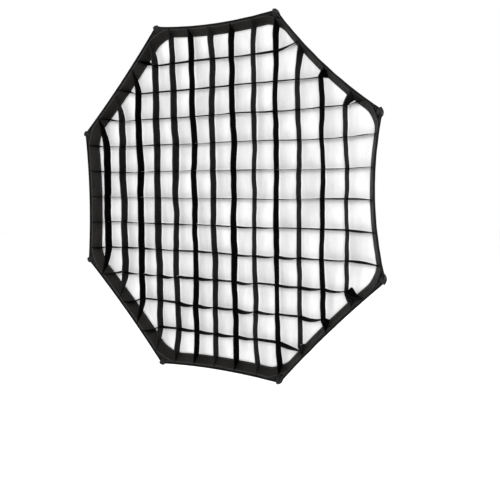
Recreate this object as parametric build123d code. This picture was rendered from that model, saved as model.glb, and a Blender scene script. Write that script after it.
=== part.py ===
"""Rod-frame octagonal softbox with a rotating speed ring, two diffusers and a fabric egg-crate grid.

The lamp's bayonet face is the plane y = 0 and the optical axis is Y: the lamp is on the +Y side and
the light leaves towards -Y. Z is up. A place along the axis is given as a depth, which is how far it
lies in front of the bayonet face, so y = -depth. All lengths are in millimetres.
"""
from build123d import *
from math import asin, atan2, ceil, cos, degrees, floor, hypot, radians, sin, sqrt, tan
import os

# ---------------------------------------------------------------- overall shape
TIP_DIAMETER = 1500.0  # over two opposite corner pockets
FRONT_DEPTH = 530.0  # bayonet face to the front hem
SIDES = 8
ROD_TURN = 30.0  # degrees that each sprung rod bends between its socket and its tip
EDGE_SAG = 0.035  # how far a panel pulls in between two rods, as a share of the chord
HALF_SIDE = 180.0 / SIDES
PANEL_START_DEPTH = 20.0  # bayonet face to the seams' rear ends
PANEL_START_GAP = 6.0  # from a socket boss to the seams' rear ends
POCKET_OVERHANG = 8.0  # how far the corner pockets stand out past the seams
CLEARANCE = 0.3  # between soft layers on different bodies

# ---------------------------------------------------------------- bayonet adapter
BORE_RADIUS = 49.0
FLANGE_RADIUS = 76.0
FLANGE_THICKNESS = 4.0
SEAT_WIDTH = 6.5  # raised annulus that bears on the lamp
SEAT_STEP = 1.2
COLLAR_WIDTH = 6.0  # raised rim around the bore
SLEEVE_WALL = 9.0
LUG_COUNT = 3
LUG_ANGLE = 24.0
LUG_WALL = 7.0
LUG_HEIGHT = 8.0
LUG_HOOK = 2.5
LUG_GAP = 1.0  # between a lug's hook and the seat
NOTCH_WIDTH = 5.0
NOTCH_DEPTH = 3.0

# ---------------------------------------------------------------- rod ring and its retainer
RING_RADIUS = 88.0
RING_THICKNESS = 23.0
RING_CLEARANCE = 0.1  # running fit on the sleeve
AXIAL_PLAY = 0.2
RING_CHAMFER = 1.5
RETAINER_OVERLAP = 8.0
RETAINER_THICKNESS = 4.0
RETAINER_CHAMFER = 1.0
RETAINER_SCREWS = 4
SCREW_RADIUS = 2.0
SCREW_HEAD_RADIUS = 3.8
SCREW_HEAD_HEIGHT = 2.6
SCREW_HEAD_ROUND = 1.2
SCREW_LENGTH = 12.0
SLOT_LENGTH = 4.2
SLOT_WIDTH = 0.9
SLOT_DEPTH = 1.2
FIT_GAP = 0.05  # around fixed pins, studs and ferrules

# ---------------------------------------------------------------- rods and their ends
ROD_RADIUS = 3.0
FERRULE_WALL = 1.0
SOCKET_DEPTH = 32.0
BOSS_WALL = 4.0
BOSS_REACH = 18.0  # past the ring's rim
BOSS_ROOT = 12.0  # how far a boss's axis runs on inside the ring's rim
SOCKET_MOUTH = 3.0  # from a boss's end to where its rod starts to bend
CAP_WALL = 2.5
CAP_LENGTH = 18.0
CAP_NOSE = 4.0  # rubber past the rod's end
CAP_ROUND = 0.6  # the nose's rounding as a share of the cap's radius
CAP_SEAM_GAP = 1.0  # between a cap and the panels on each side of it
ROD_END_GAP = 1.0  # between a rod and the bottom of its socket or cap
POCKET_WIDTH = 30.0
POCKET_WEBBING = 1.5
POCKET_LENGTH = 42.0
POCKET_RETURN = 0.6  # the inner leg's length as a share of the outer leg's
POCKET_GAP = 0.6  # between the webbing and the cap
POCKET_SHELL_GAP = 1.0  # between the webbing and the panels

# ---------------------------------------------------------------- lock screws
LOCK_ANGLES = (0.0, 180.0)
STUD_RADIUS = 4.0
STUD_CHAMFER = 0.8
PAD_THICKNESS = 4.0
PAD_GAP = 0.02  # between a pad's hollow face and the sleeve
KNOB_RADIUS = 11.0
KNOB_LENGTH = 20.0
KNOB_ROUND = 2.5
KNOB_FLUTES = 8
FLUTE_RADIUS = 3.2
FLUTE_CIRCLE = 12.65  # knob's axis to a flute's axis
KNOB_COLLAR_RADIUS = 7.5
KNOB_COLLAR_LENGTH = 3.0
STUD_IN_KNOB = 14.0
KNOB_STANDOFF = 8.0  # between the skirt and the knob

# ---------------------------------------------------------------- fabric
CLOTH = 0.9
TAPE = 1.2
SKIRT_CLOTH = 1.5
SKIRT_END_DEPTH = 3.0
SKIRT_GAP = 0.05  # between the cuff and the panels
SKIRT_SLOT_ROOM = 1.0  # beside a lock stud
TAPE_HEM = 2.0  # the loop tape runs past the tapes that grip it by this much
HOOK_TAPE_WIDTH = 16.0
TAPE_END_GAP = 3.0  # between a tape's end and the corner pocket
POCKET_ROOM = 2.0  # between a corner pocket and what lies inside it

# ---------------------------------------------------------------- inner baffle
BAFFLE_DEPTH = 290.0
BAFFLE_GAP = 72.0  # from a rod to the nearest corner of the sheet
BAFFLE_CLOTH = 0.9
STRAP_WIDTH = 20.0
STRAP_THICKNESS = 1.5
STRAP_LAP = 14.0
CLIP_LENGTH = 16.0
CLIP_WALL = 1.6
CLIP_BORE_RADIUS = ROD_RADIUS + 2 * CLEARANCE
STRAP_GAP = 0.1  # between a strap and the sheet
STRAP_CLIP_GAP = 0.05  # between a strap's tongue and its clip

# ---------------------------------------------------------------- front diffuser and grid
DIFFUSER_CLOTH = 0.9
DIFFUSER_GAP = 2.0  # from the strips' rear edges to the diffuser sheet
DIFFUSER_EDGE_ROOM = 2.0  # between the sheet and its hook tape
GRID_RECESS = 0.0  # front hem to the strips' front edges
GRID_DEPTH = 38.0
GRID_TAPE_FRONT = 3.0  # front hem to the border tape
GRID_TAPE_MARGIN = 1.0  # the border tape runs past the strips' rear edges by this much
GRID_CLOTH = 1.0
GRID_PITCH_X = 95.0
GRID_PITCH_Z = 109.0
GRID_SHIFT_X = -22.0
GRID_SHIFT_Z = -4.0
GRID_EDGE_ROOM = 25.0  # the least space between the border and a strip beside it
SLOT_GAP = 0.3

# ---------------------------------------------------------------- worked out from the above
SLEEVE_RADIUS = BORE_RADIUS + SLEEVE_WALL
RING_START = FLANGE_THICKNESS + AXIAL_PLAY
RING_END = RING_START + RING_THICKNESS
RETAINER_START = RING_END + AXIAL_PLAY
RETAINER_END = RETAINER_START + RETAINER_THICKNESS
FERRULE_RADIUS = ROD_RADIUS + FERRULE_WALL
BOSS_RADIUS = FERRULE_RADIUS + BOSS_WALL
SOCKET_BOTTOM = SOCKET_MOUTH + SOCKET_DEPTH
CAP_RADIUS = ROD_RADIUS + CAP_WALL
SOCKET_RADIUS = FERRULE_RADIUS + FIT_GAP
CORNER_SPREAD = HALF_SIDE + degrees(atan2(4 * EDGE_SAG, 1))  # a panel's slope away from its seam
ROD_OFFSET = CAP_RADIUS / cos(radians(CORNER_SPREAD)) + CAP_SEAM_GAP  # seam to rod's centre
HEM_RADIUS = TIP_DIAMETER / 2 - POCKET_OVERHANG  # seam to axis at the front hem
SEAM_START_RADIUS = RING_RADIUS + BOSS_REACH + PANEL_START_GAP


def seam_arc():
    """Centre (radius, depth) and radius of the arc that every seam follows, and its two headings.

    A heading is the angle between the arc's tangent and the optical axis, in radians.
    """
    across, along = HEM_RADIUS - SEAM_START_RADIUS, FRONT_DEPTH - PANEL_START_DEPTH
    chord_heading = atan2(across, along)
    half_turn = radians(ROD_TURN) / 2
    arc_radius = hypot(across, along) / 2 / sin(half_turn)
    first, last = chord_heading + half_turn, chord_heading - half_turn
    centre = (SEAM_START_RADIUS - arc_radius * cos(first),
              PANEL_START_DEPTH + arc_radius * sin(first))
    return centre, arc_radius, first, last


SEAM_CENTRE, SEAM_ARC, HEADING_AT_RING, HEADING_AT_HEM = seam_arc()


def arc_point(heading, inset=0.0):
    """(radius, depth) on the seam arc moved inwards by inset."""
    reach = SEAM_ARC - inset
    return SEAM_CENTRE[0] + reach * cos(heading), SEAM_CENTRE[1] - reach * sin(heading)


def seam_radius(depth, inset=0.0):
    """Distance from the optical axis to the seam at a depth."""
    reach = SEAM_ARC - inset
    return SEAM_CENTRE[0] + sqrt(reach * reach - (SEAM_CENTRE[1] - depth) ** 2)


def panel_point(across, heading, inset):
    """Point on the side panel that faces +X. across runs from -1 at one seam to 1 at the next."""
    radius, depth = arc_point(heading, inset / cos(radians(HALF_SIDE)))
    half_width = radius * sin(radians(HALF_SIDE))
    pull = EDGE_SAG * 2 * half_width * (1 - across * across)
    return Vector(radius * cos(radians(HALF_SIDE)) - pull, -depth, across * half_width)


def heading_at(depth):
    """Heading of the seam at a depth."""
    return asin((SEAM_CENTRE[1] - depth) / SEAM_ARC)


def fabric_panel(first, last, inset, thickness, edge_room=0.0, rows=9, columns=7):
    """Layer of cloth on a side panel between two headings, thickened outwards from its inset face.

    edge_room is the space that it leaves along each seam.
    """
    points = []
    for i in range(columns):
        line = []
        for j in range(rows):
            heading = first + (last - first) * j / (rows - 1)
            radius, _ = arc_point(heading, inset)
            share = 1 - edge_room / (radius * sin(radians(HALF_SIDE)))
            line.append(panel_point(share * (2 * i / (columns - 1) - 1), heading, inset))
        points.append(line)
    face = Face.make_surface_from_array_of_points(points, tol=0.02)
    return Solid.thicken(face, thickness, normal_override=(1, 1, 0))


def around(shape, angle):
    """Turns a shape that was made on the +X side about the optical axis, towards +Z."""
    return shape.rotate(Axis.Y, -angle)


def all_round(shape, first_angle=0.0):
    """One copy of the shape for each side."""
    return [around(shape, first_angle + k * 360.0 / SIDES) for k in range(SIDES)]


def save(name, *shapes):
    """Writes one node as a STEP file."""
    solids = [solid for shape in shapes for solid in shape.solids()]
    export_step(Compound(solids) if len(solids) > 1 else solids[0], f"parts/{name}.step")


def turned(outline):
    """Solid of revolution about the optical axis from (radius, depth) corners."""
    corners = [(radius, -depth) for radius, depth in outline]
    return revolve(make_face(Polyline(*corners, close=True)), Axis.Y)


def along_axis(radius, start, end, place=(0.0, 0.0)):
    """Cylinder parallel to the optical axis between two depths, at an (x, z) place."""
    middle = Vector(place[0], -(start + end) / 2, place[1])
    return Pos(middle) * Rot(90, 0, 0) * Cylinder(radius, end - start)


def radial_bar(radius, start, end, depth):
    """Cylinder along +X between two distances from the optical axis."""
    return Pos((start + end) / 2, -depth, 0) * Rot(0, 90, 0) * Cylinder(radius, end - start)


# ---------------------------------------------------------------- speed ring
def bayonet_adapter():
    """Flange, bearing sleeve and three hooked lugs in one casting."""
    seat_inner = FLANGE_RADIUS - SEAT_WIDTH
    body = turned([
        (BORE_RADIUS, 0.0),
        (BORE_RADIUS + COLLAR_WIDTH, 0.0),
        (BORE_RADIUS + COLLAR_WIDTH, SEAT_STEP),
        (seat_inner, SEAT_STEP),
        (seat_inner, 0.0),
        (FLANGE_RADIUS, 0.0),
        (FLANGE_RADIUS, FLANGE_THICKNESS),
        (SLEEVE_RADIUS, FLANGE_THICKNESS),
        (SLEEVE_RADIUS, RETAINER_START),
        (BORE_RADIUS, RETAINER_START),
    ])
    lug_outer = seat_inner - LUG_HOOK - LUG_GAP
    lug_root = (SEAT_STEP + FLANGE_THICKNESS) / 2
    lug_inner = lug_outer - LUG_WALL
    lug_ring = turned([
        (lug_inner, lug_root),
        (lug_inner, -LUG_HEIGHT),
        (lug_outer + LUG_HOOK, -LUG_HEIGHT),
        (lug_outer + LUG_HOOK, -LUG_HEIGHT + LUG_HOOK),
        (lug_outer, -LUG_HEIGHT + LUG_HOOK),
        (lug_outer, lug_root),
    ])
    reach = 2 * FLANGE_RADIUS
    half = radians(LUG_ANGLE / 2)
    wedge_corners = [(0, 0), (reach, -reach * sin(half)), (reach, reach * sin(half))]
    wedge = extrude(Plane.XZ * make_face(Polyline(*wedge_corners, close=True)), reach, both=True)
    for k in range(LUG_COUNT):
        body += lug_ring & around(wedge, 90 + k * 360 / LUG_COUNT)
    for angle in retainer_screw_angles():
        body -= screw_shank(SCREW_RADIUS + FIT_GAP, angle)
    body -= Pos(FLANGE_RADIUS, 0, 0) * Box(2 * NOTCH_DEPTH, 4 * FLANGE_THICKNESS, NOTCH_WIDTH)
    return body


def retainer_screw_angles():
    """Half way between two rod sockets, clear of the lock screws."""
    return [45 + k * 360 / RETAINER_SCREWS for k in range(RETAINER_SCREWS)]


def screw_place(angle):
    """(x, z) of a retaining screw's axis, in the middle of the sleeve's wall."""
    radius = BORE_RADIUS + SLEEVE_WALL / 2
    return radius * cos(radians(angle)), radius * sin(radians(angle))


def screw_shank(radius, angle):
    """A retaining screw's shank or its hole."""
    return along_axis(radius, RETAINER_END - SCREW_LENGTH, RETAINER_END, screw_place(angle))


def retaining_ring():
    """Flat ring on the sleeve's front end that keeps the rod ring on."""
    outer = SLEEVE_RADIUS + RETAINER_OVERLAP
    body = turned([
        (BORE_RADIUS, RETAINER_START),
        (outer, RETAINER_START),
        (outer, RETAINER_END - RETAINER_CHAMFER),
        (outer - RETAINER_CHAMFER, RETAINER_END),
        (BORE_RADIUS, RETAINER_END),
    ])
    for angle in retainer_screw_angles():
        body -= screw_shank(SCREW_RADIUS + FIT_GAP, angle)
    return body


def retaining_screws():
    """Round-headed screws with a cross slot, one solid each."""
    screws = []
    for angle in retainer_screw_angles():
        place = screw_place(angle)
        head_end = RETAINER_END + SCREW_HEAD_HEIGHT
        head = along_axis(SCREW_HEAD_RADIUS, RETAINER_END, head_end, place)
        head = fillet(head.edges().group_by(Axis.Y)[0], SCREW_HEAD_ROUND)
        screw = head + screw_shank(SCREW_RADIUS, angle)
        top = Pos(place[0], -head_end, place[1])
        screw -= top * Box(SLOT_LENGTH, 2 * SLOT_DEPTH, SLOT_WIDTH)
        screw -= top * Box(SLOT_WIDTH, 2 * SLOT_DEPTH, SLOT_LENGTH)
        screws.append(screw)
    return screws


def socket_line(start, end, radius):
    """Cylinder on a rod socket's axis. start and end are measured back from the rod's first bend."""
    radius_at, depth_at = arc_point(HEADING_AT_RING, ROD_OFFSET)
    mouth = Vector(radius_at, -depth_at, 0)
    outwards = Vector(sin(HEADING_AT_RING), -cos(HEADING_AT_RING), 0)
    plane = Plane(origin=mouth - outwards * end, z_dir=outwards)
    return plane * Cylinder(radius, end - start, align=(Align.CENTER, Align.CENTER, Align.MIN))


def boss_back():
    """How far behind the rod's first bend a boss ends inside the ring."""
    radius_at, _ = arc_point(HEADING_AT_RING, ROD_OFFSET)
    return (radius_at - (RING_RADIUS - BOSS_ROOT)) / sin(HEADING_AT_RING)


def rod_ring():
    """Turned ring with one angled socket boss for each rod and two tapped holes for lock screws."""
    inner = SLEEVE_RADIUS + RING_CLEARANCE
    body = turned([
        (inner, RING_START),
        (RING_RADIUS - RING_CHAMFER, RING_START),
        (RING_RADIUS, RING_START + RING_CHAMFER),
        (RING_RADIUS, RING_END - RING_CHAMFER),
        (RING_RADIUS - RING_CHAMFER, RING_END),
        (inner, RING_END),
    ])
    boss = socket_line(SOCKET_MOUTH, boss_back(), BOSS_RADIUS)
    bore = socket_line(0.0, SOCKET_BOTTOM, SOCKET_RADIUS)
    for part in all_round(boss, HALF_SIDE):
        body += part
    for part in all_round(bore, HALF_SIDE):
        body -= part
    for angle in LOCK_ANGLES:
        hole = radial_bar(STUD_RADIUS, BORE_RADIUS, SEAM_START_RADIUS, LOCK_DEPTH)
        body -= around(hole, angle)
    return body


LOCK_DEPTH = RING_START + RING_THICKNESS / 3
STUD_START = SLEEVE_RADIUS + PAD_THICKNESS
KNOB_START = SEAM_START_RADIUS * cos(radians(HALF_SIDE)) + KNOB_STANDOFF


def lock_pad():
    """Brass pad whose hollow face bears on the sleeve."""
    radius = STUD_RADIUS - 2 * FIT_GAP
    pad = radial_bar(radius, BORE_RADIUS, STUD_START, LOCK_DEPTH)
    return pad - along_axis(SLEEVE_RADIUS + PAD_GAP, 0, RING_END)


def lock_stud():
    """Threaded stud, as plain as its pitch diameter, with a pilot tip."""
    radius = STUD_RADIUS - 2 * FIT_GAP
    stud = radial_bar(radius, STUD_START, KNOB_START + STUD_IN_KNOB, LOCK_DEPTH)
    return chamfer(stud.edges().group_by(Axis.X)[0], STUD_CHAMFER)


def lock_knob():
    """Fluted knob with a collar, moulded on the stud."""
    body_start = KNOB_START + KNOB_COLLAR_LENGTH
    knob = radial_bar(KNOB_RADIUS, body_start, KNOB_START + KNOB_LENGTH, LOCK_DEPTH)
    knob = fillet(knob.edges().group_by(Axis.X)[-1], KNOB_ROUND)
    knob += radial_bar(KNOB_COLLAR_RADIUS, KNOB_START, body_start, LOCK_DEPTH)
    for k in range(KNOB_FLUTES):
        angle = radians(k * 360 / KNOB_FLUTES)
        place = Pos(0, -FLUTE_CIRCLE * sin(angle), FLUTE_CIRCLE * cos(angle))
        knob -= place * radial_bar(FLUTE_RADIUS, body_start, KNOB_START + 2 * KNOB_LENGTH, LOCK_DEPTH)
    stud_end = KNOB_START + STUD_IN_KNOB + FIT_GAP
    return knob - radial_bar(STUD_RADIUS - FIT_GAP, RING_RADIUS, stud_end, LOCK_DEPTH)


# ---------------------------------------------------------------- rods
def rod_path(first_heading, last_heading):
    """Arc of a rod's centre line on the +X side."""
    places = [first_heading, (first_heading + last_heading) / 2, last_heading]
    points = [arc_point(heading, ROD_OFFSET) for heading in places]
    return ThreePointArc(*[Vector(radius, -depth, 0) for radius, depth in points])


def heading_back_from_hem(distance):
    """Heading at a distance along the rod behind its end."""
    return HEADING_AT_HEM + distance / (SEAM_ARC - ROD_OFFSET)


def rod():
    """Sprung rod: straight in its ferrule, then one long bend to the tip."""
    path = rod_path(HEADING_AT_RING, heading_back_from_hem(ROD_END_GAP))
    section = Plane(origin=path @ 0, z_dir=path % 0) * Circle(ROD_RADIUS)
    return sweep(section, path) + socket_line(0.0, SOCKET_BOTTOM - ROD_END_GAP, ROD_RADIUS)


def ferrule():
    """Steel sleeve crimped on a rod's inner end."""
    outer = socket_line(ROD_END_GAP, SOCKET_BOTTOM - ROD_END_GAP / 2, FERRULE_RADIUS)
    return outer - socket_line(0.0, SOCKET_BOTTOM, ROD_RADIUS + FIT_GAP)


def tip_line(back, front, radius):
    """Cylinder on the rod's tangent at its tip. back and front are measured from the hem."""
    radius_at, depth_at = arc_point(HEADING_AT_HEM, ROD_OFFSET)
    end = Vector(radius_at, -depth_at, 0)
    outwards = Vector(sin(HEADING_AT_HEM), -cos(HEADING_AT_HEM), 0)
    plane = Plane(origin=end + outwards * back, z_dir=outwards)
    return plane * Cylinder(radius, front - back, align=(Align.CENTER, Align.CENTER, Align.MIN))


def rod_tip_cap():
    """Rubber cap with a domed end. Its bore is a little wide, for the rod's bend."""
    cap = tip_line(CAP_NOSE - CAP_LENGTH, CAP_NOSE, CAP_RADIUS)
    end_edge = cap.edges().filter_by(GeomType.CIRCLE).group_by(Axis.Y)[0]
    cap = fillet(end_edge, CAP_RADIUS * CAP_ROUND)
    return cap - tip_line(-CAP_LENGTH, 0.0, ROD_RADIUS + 2 * FIT_GAP)


def corner_pocket():
    """Webbing strap folded over the hem at a corner, which the capped rod pushes into."""
    radius_at, depth_at = arc_point(HEADING_AT_HEM, ROD_OFFSET)
    end = Vector(radius_at, -depth_at, 0)
    outwards = Vector(sin(HEADING_AT_HEM), -cos(HEADING_AT_HEM), 0)
    plane = Plane(origin=end, x_dir=outwards, z_dir=(0, 0, 1))
    shell_side = ROD_OFFSET + CLOTH / cos(radians(CORNER_SPREAD)) + POCKET_SHELL_GAP
    rod_side = -CAP_RADIUS - POCKET_GAP
    front = CAP_NOSE + POCKET_GAP
    inner = [(-POCKET_LENGTH, shell_side), (front, shell_side), (front, rod_side),
             (-POCKET_LENGTH * POCKET_RETURN, rod_side)]
    outer = [(-POCKET_LENGTH * POCKET_RETURN, rod_side - POCKET_WEBBING),
             (front + POCKET_WEBBING, rod_side - POCKET_WEBBING),
             (front + POCKET_WEBBING, shell_side + POCKET_WEBBING),
             (-POCKET_LENGTH, shell_side + POCKET_WEBBING)]
    outline = make_face(Polyline(*inner, *outer, close=True))
    return extrude(plane * outline, POCKET_WIDTH / 2, both=True)


# ---------------------------------------------------------------- shell and its fittings
def rear_skirt():
    """Octagonal cuff behind the panels, slotted from the rear for the lock studs."""
    end = PANEL_START_DEPTH - CLOTH * sin(HEADING_AT_RING) - SKIRT_GAP
    outer = SEAM_START_RADIUS + SKIRT_CLOTH
    ring = RegularPolygon(outer, SIDES) - RegularPolygon(outer - SKIRT_CLOTH, SIDES)
    ring = extrude(Rot(0, 0, HALF_SIDE) * ring, end - SKIRT_END_DEPTH)
    body = Pos(0, -SKIRT_END_DEPTH, 0) * Rot(90, 0, 0) * ring
    width = 2 * (STUD_RADIUS + SKIRT_SLOT_ROOM)
    for angle in LOCK_ANGLES:
        slot_end = LOCK_DEPTH + width / 2
        slot = Pos(outer, -slot_end / 2, 0) * Box(outer, slot_end, width)
        body -= around(slot, angle)
    return body


def lip_heading(depth_behind_hem):
    """Heading on the front lip at a depth behind the hem."""
    return heading_at(FRONT_DEPTH - depth_behind_hem)


TAPE_EDGE_ROOM = POCKET_WIDTH / 2 + TAPE_END_GAP
DIFFUSER_RECESS = GRID_RECESS + GRID_DEPTH + DIFFUSER_GAP
HOOK_TAPE_REAR = DIFFUSER_RECESS + HOOK_TAPE_WIDTH
LOOP_INSET = TAPE + CLEARANCE / 2
HOOK_INSET = LOOP_INSET + CLEARANCE + TAPE
STRIP_INSET = HOOK_INSET + CLEARANCE + GRID_CLOTH


def lip_tape(front, rear, inset):
    """Tape along one side of the lip between two depths behind the hem."""
    return fabric_panel(lip_heading(rear), lip_heading(front), inset, TAPE, TAPE_EDGE_ROOM, rows=5)


# ---------------------------------------------------------------- sheets, straps and clips
def corner_limit(depth):
    """How far out anything inside the corner pockets may reach at a depth."""
    radius, depth_at = arc_point(HEADING_AT_HEM, ROD_OFFSET)
    inwards = CAP_RADIUS + POCKET_GAP + POCKET_WEBBING + POCKET_ROOM
    radius, depth_at = radius - inwards * cos(HEADING_AT_HEM), depth_at + inwards * sin(HEADING_AT_HEM)
    return radius + (depth - depth_at) * tan(HEADING_AT_HEM)


OUTLINE_STEPS = 120  # points on each side of an opening's edge


def side_outline(depth, inset):
    """(x, z) points along the opening's edge at a depth, cut back behind each corner pocket."""
    radius = seam_radius(depth, inset / cos(radians(HALF_SIDE)))
    half_width = radius * sin(radians(HALF_SIDE))
    apothem = radius * cos(radians(HALF_SIDE))
    room = POCKET_WIDTH / 2 + POCKET_ROOM
    points = []
    for k in range(SIDES):
        turn = radians(k * 360 / SIDES)
        for i in range(OUTLINE_STEPS):
            across = -1 + 2 * i / OUTLINE_STEPS
            out = apothem - EDGE_SAG * 2 * half_width * (1 - across * across)
            side = across * half_width
            corner = radians(HALF_SIDE) if side > 0 else -radians(HALF_SIDE)
            beside = abs(side * cos(corner) - out * sin(corner))
            beyond = out * cos(corner) + side * sin(corner) - corner_limit(depth)
            if beside < room and beyond > 0:
                out -= beyond * cos(corner)
                side -= beyond * sin(corner)
            points.append((out * cos(turn) - side * sin(turn), out * sin(turn) + side * cos(turn)))
    return points


def sheet(depth, thickness, corner_radius, sag):
    """Flat eight-sided sheet whose edges pull in between its corners."""
    edges = []
    for k in range(SIDES):
        first, last = radians(HALF_SIDE + k * 45.0), radians(HALF_SIDE + (k + 1) * 45.0)
        middle = (first + last) / 2
        out = corner_radius * cos(radians(HALF_SIDE)) - sag
        edges.append(ThreePointArc(
            (corner_radius * cos(first), corner_radius * sin(first)),
            (out * cos(middle), out * sin(middle)),
            (corner_radius * cos(last), corner_radius * sin(last)),
        ))
    face = make_face(edges)
    return Pos(0, -depth + thickness, 0) * Rot(90, 0, 0) * extrude(face, thickness)


def front_diffuser():
    """Sheet that spans the lip just in front of its hook tape."""
    depth = FRONT_DEPTH - DIFFUSER_RECESS
    room = HOOK_INSET + TAPE + DIFFUSER_EDGE_ROOM
    radius = seam_radius(depth - DIFFUSER_CLOTH, room / cos(radians(HALF_SIDE))) - CAP_RADIUS - ROD_OFFSET
    chord = 2 * radius * sin(radians(HALF_SIDE))
    return sheet(depth, DIFFUSER_CLOTH, radius, EDGE_SAG * chord)


ROD_AT_BAFFLE = seam_radius(BAFFLE_DEPTH, ROD_OFFSET)
BAFFLE_RADIUS = ROD_AT_BAFFLE - BAFFLE_GAP


def inner_baffle():
    """Second sheet half way down the box, smaller than the shell there."""
    chord = 2 * BAFFLE_RADIUS * sin(radians(HALF_SIDE))
    return sheet(BAFFLE_DEPTH, BAFFLE_CLOTH, BAFFLE_RADIUS, EDGE_SAG * chord)


def clip_plane():
    """Plane across a rod at the baffle: X is the way out to the shell, Z follows the rod."""
    heading = asin((SEAM_CENTRE[1] - BAFFLE_DEPTH) / (SEAM_ARC - ROD_OFFSET))
    radius, depth = arc_point(heading, ROD_OFFSET)
    return Plane(origin=(radius, -depth, 0), x_dir=(cos(heading), sin(heading), 0),
                 z_dir=(sin(heading), -cos(heading), 0))


def baffle_clip():
    """Plastic channel that hooks on a rod from the inside, open towards the shell."""
    outer = CLIP_BORE_RADIUS + CLIP_WALL
    outline = Circle(outer) + Pos(outer / 2, 0) * Rectangle(outer, 2 * outer)
    outline -= Circle(CLIP_BORE_RADIUS) + Pos(outer, 0) * Rectangle(2 * outer, 2 * CLIP_BORE_RADIUS)
    outline &= Pos(-outer, 0) * Rectangle(2 * outer + 2 * ROD_RADIUS, 4 * outer)
    return extrude(clip_plane() * outline, CLIP_LENGTH / 2, both=True)


def baffle_strap():
    """Elastic strap from a corner of the baffle to its clip, on the baffle's front side."""
    outer = CLIP_BORE_RADIUS + CLIP_WALL
    start, end = BAFFLE_RADIUS - STRAP_LAP, ROD_AT_BAFFLE - outer - CLIP_LENGTH / 2
    depth = BAFFLE_DEPTH + STRAP_THICKNESS / 2 + STRAP_GAP
    strap = Pos((start + end) / 2, -depth, 0) * Box(end - start, STRAP_THICKNESS, STRAP_WIDTH)
    tongue = Pos(end, -depth, 0) * Box(2 * CLIP_LENGTH, STRAP_THICKNESS, STRAP_WIDTH / 2)
    strap += tongue
    block = extrude(clip_plane() * Circle(outer + STRAP_CLIP_GAP), CLIP_LENGTH, both=True)
    past = 2 * CLIP_LENGTH
    shell_side = clip_plane() * (Pos(past / 2, 0) * Rectangle(past, 2 * past))
    return strap - block - extrude(shell_side, 2 * past, both=True)


# ---------------------------------------------------------------- grid
def strip_places(shift, pitch, half_extent):
    """Positions of the strips that stand clear of the border."""
    reach = half_extent - GRID_EDGE_ROOM
    first, last = ceil((-reach - shift) / pitch), floor((reach - shift) / pitch)
    return [shift + k * pitch for k in range(first, last + 1)]


def extent(outline, place, along):
    """(lowest, highest) crossing of an outline with the line where the other coordinate is place."""
    crossings = []
    for a, b in zip(outline, outline[1:] + outline[:1]):
        if along == "x":
            a, b = (a[1], a[0]), (b[1], b[0])
        if (a[0] - place) * (b[0] - place) < 0:
            crossings.append(a[1] + (b[1] - a[1]) * (place - a[0]) / (b[0] - a[0]))
    return min(crossings), max(crossings)


GRID_FRONT = FRONT_DEPTH - GRID_RECESS
GRID_REAR = GRID_FRONT - GRID_DEPTH
FRONT_OUTLINE = side_outline(GRID_FRONT, STRIP_INSET)
REAR_OUTLINE = side_outline(GRID_REAR, STRIP_INSET)
HALF_OPENING = REAR_OUTLINE[OUTLINE_STEPS // 2][0]  # axis to the middle of the right-hand edge
UPRIGHT_PLACES = strip_places(GRID_SHIFT_X, GRID_PITCH_X, HALF_OPENING)
LEVEL_PLACES = strip_places(GRID_SHIFT_Z, GRID_PITCH_Z, HALF_OPENING)


def strip(place, crossings, along):
    """Strip of cloth on edge, running along "z" or "x", slotted half way where others cross it.

    Upright strips are slotted from the rear and level strips from the front.
    """
    low_front, high_front = extent(FRONT_OUTLINE, place, along)
    low_rear, high_rear = extent(REAR_OUTLINE, place, along)
    corners = [(low_front, -GRID_FRONT), (high_front, -GRID_FRONT),
               (high_rear, -GRID_REAR), (low_rear, -GRID_REAR)]
    across = GRID_CLOTH / 2
    if along == "x":
        face = Plane.XY * make_face(Polyline(*corners, close=True))
        body = Pos(0, 0, place) * extrude(face, across, both=True)
    else:
        face = Plane.YZ * make_face(Polyline(*[(y, z) for z, y in corners], close=True))
        body = Pos(place, 0, 0) * extrude(face, across, both=True)
    slot_width = GRID_CLOTH + 2 * SLOT_GAP
    slot_depth = 2 * (GRID_DEPTH / 2 + SLOT_GAP)
    for crossing in crossings:
        if not low_front < crossing < high_front:
            continue
        if along == "x":
            slot = Pos(crossing, -GRID_FRONT, place) * Box(slot_width, slot_depth, 2 * GRID_CLOTH)
        else:
            slot = Pos(place, -GRID_REAR, crossing) * Box(2 * GRID_CLOTH, slot_depth, slot_width)
        body -= slot
    return body.solids().sort_by(SortBy.VOLUME)[-1]


# ---------------------------------------------------------------- write every node
def write_speed_ring():
    save("bayonet_adapter", bayonet_adapter())
    save("rod_ring", rod_ring())
    save("retaining_ring", retaining_ring())
    save("retaining_screws", *retaining_screws())
    for k, angle in enumerate(LOCK_ANGLES, 1):
        save(f"lock_pad_{k}", around(lock_pad(), angle))
        save(f"lock_stud_{k}", around(lock_stud(), angle))
        save(f"lock_knob_{k}", around(lock_knob(), angle))


def write_rods():
    for k, body in enumerate(all_round(rod(), HALF_SIDE), 1):
        save(f"rod_{k}", body)
    for k, body in enumerate(all_round(rod_tip_cap(), HALF_SIDE), 1):
        save(f"rod_tip_cap_{k}", body)
    save("rod_ferrules", *all_round(ferrule(), HALF_SIDE))


def write_shell():
    for k, body in enumerate(all_round(fabric_panel(HEADING_AT_RING, HEADING_AT_HEM, 0.0, CLOTH)), 1):
        save(f"shell_panel_{k}", body)
    for k, body in enumerate(all_round(corner_pocket(), HALF_SIDE), 1):
        save(f"corner_pocket_{k}", body)
    save("rear_skirt", rear_skirt())
    loop_tape = lip_tape(TAPE_HEM, HOOK_TAPE_REAR + TAPE_HEM, LOOP_INSET)
    save("lip_loop_tape", *all_round(loop_tape))


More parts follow.
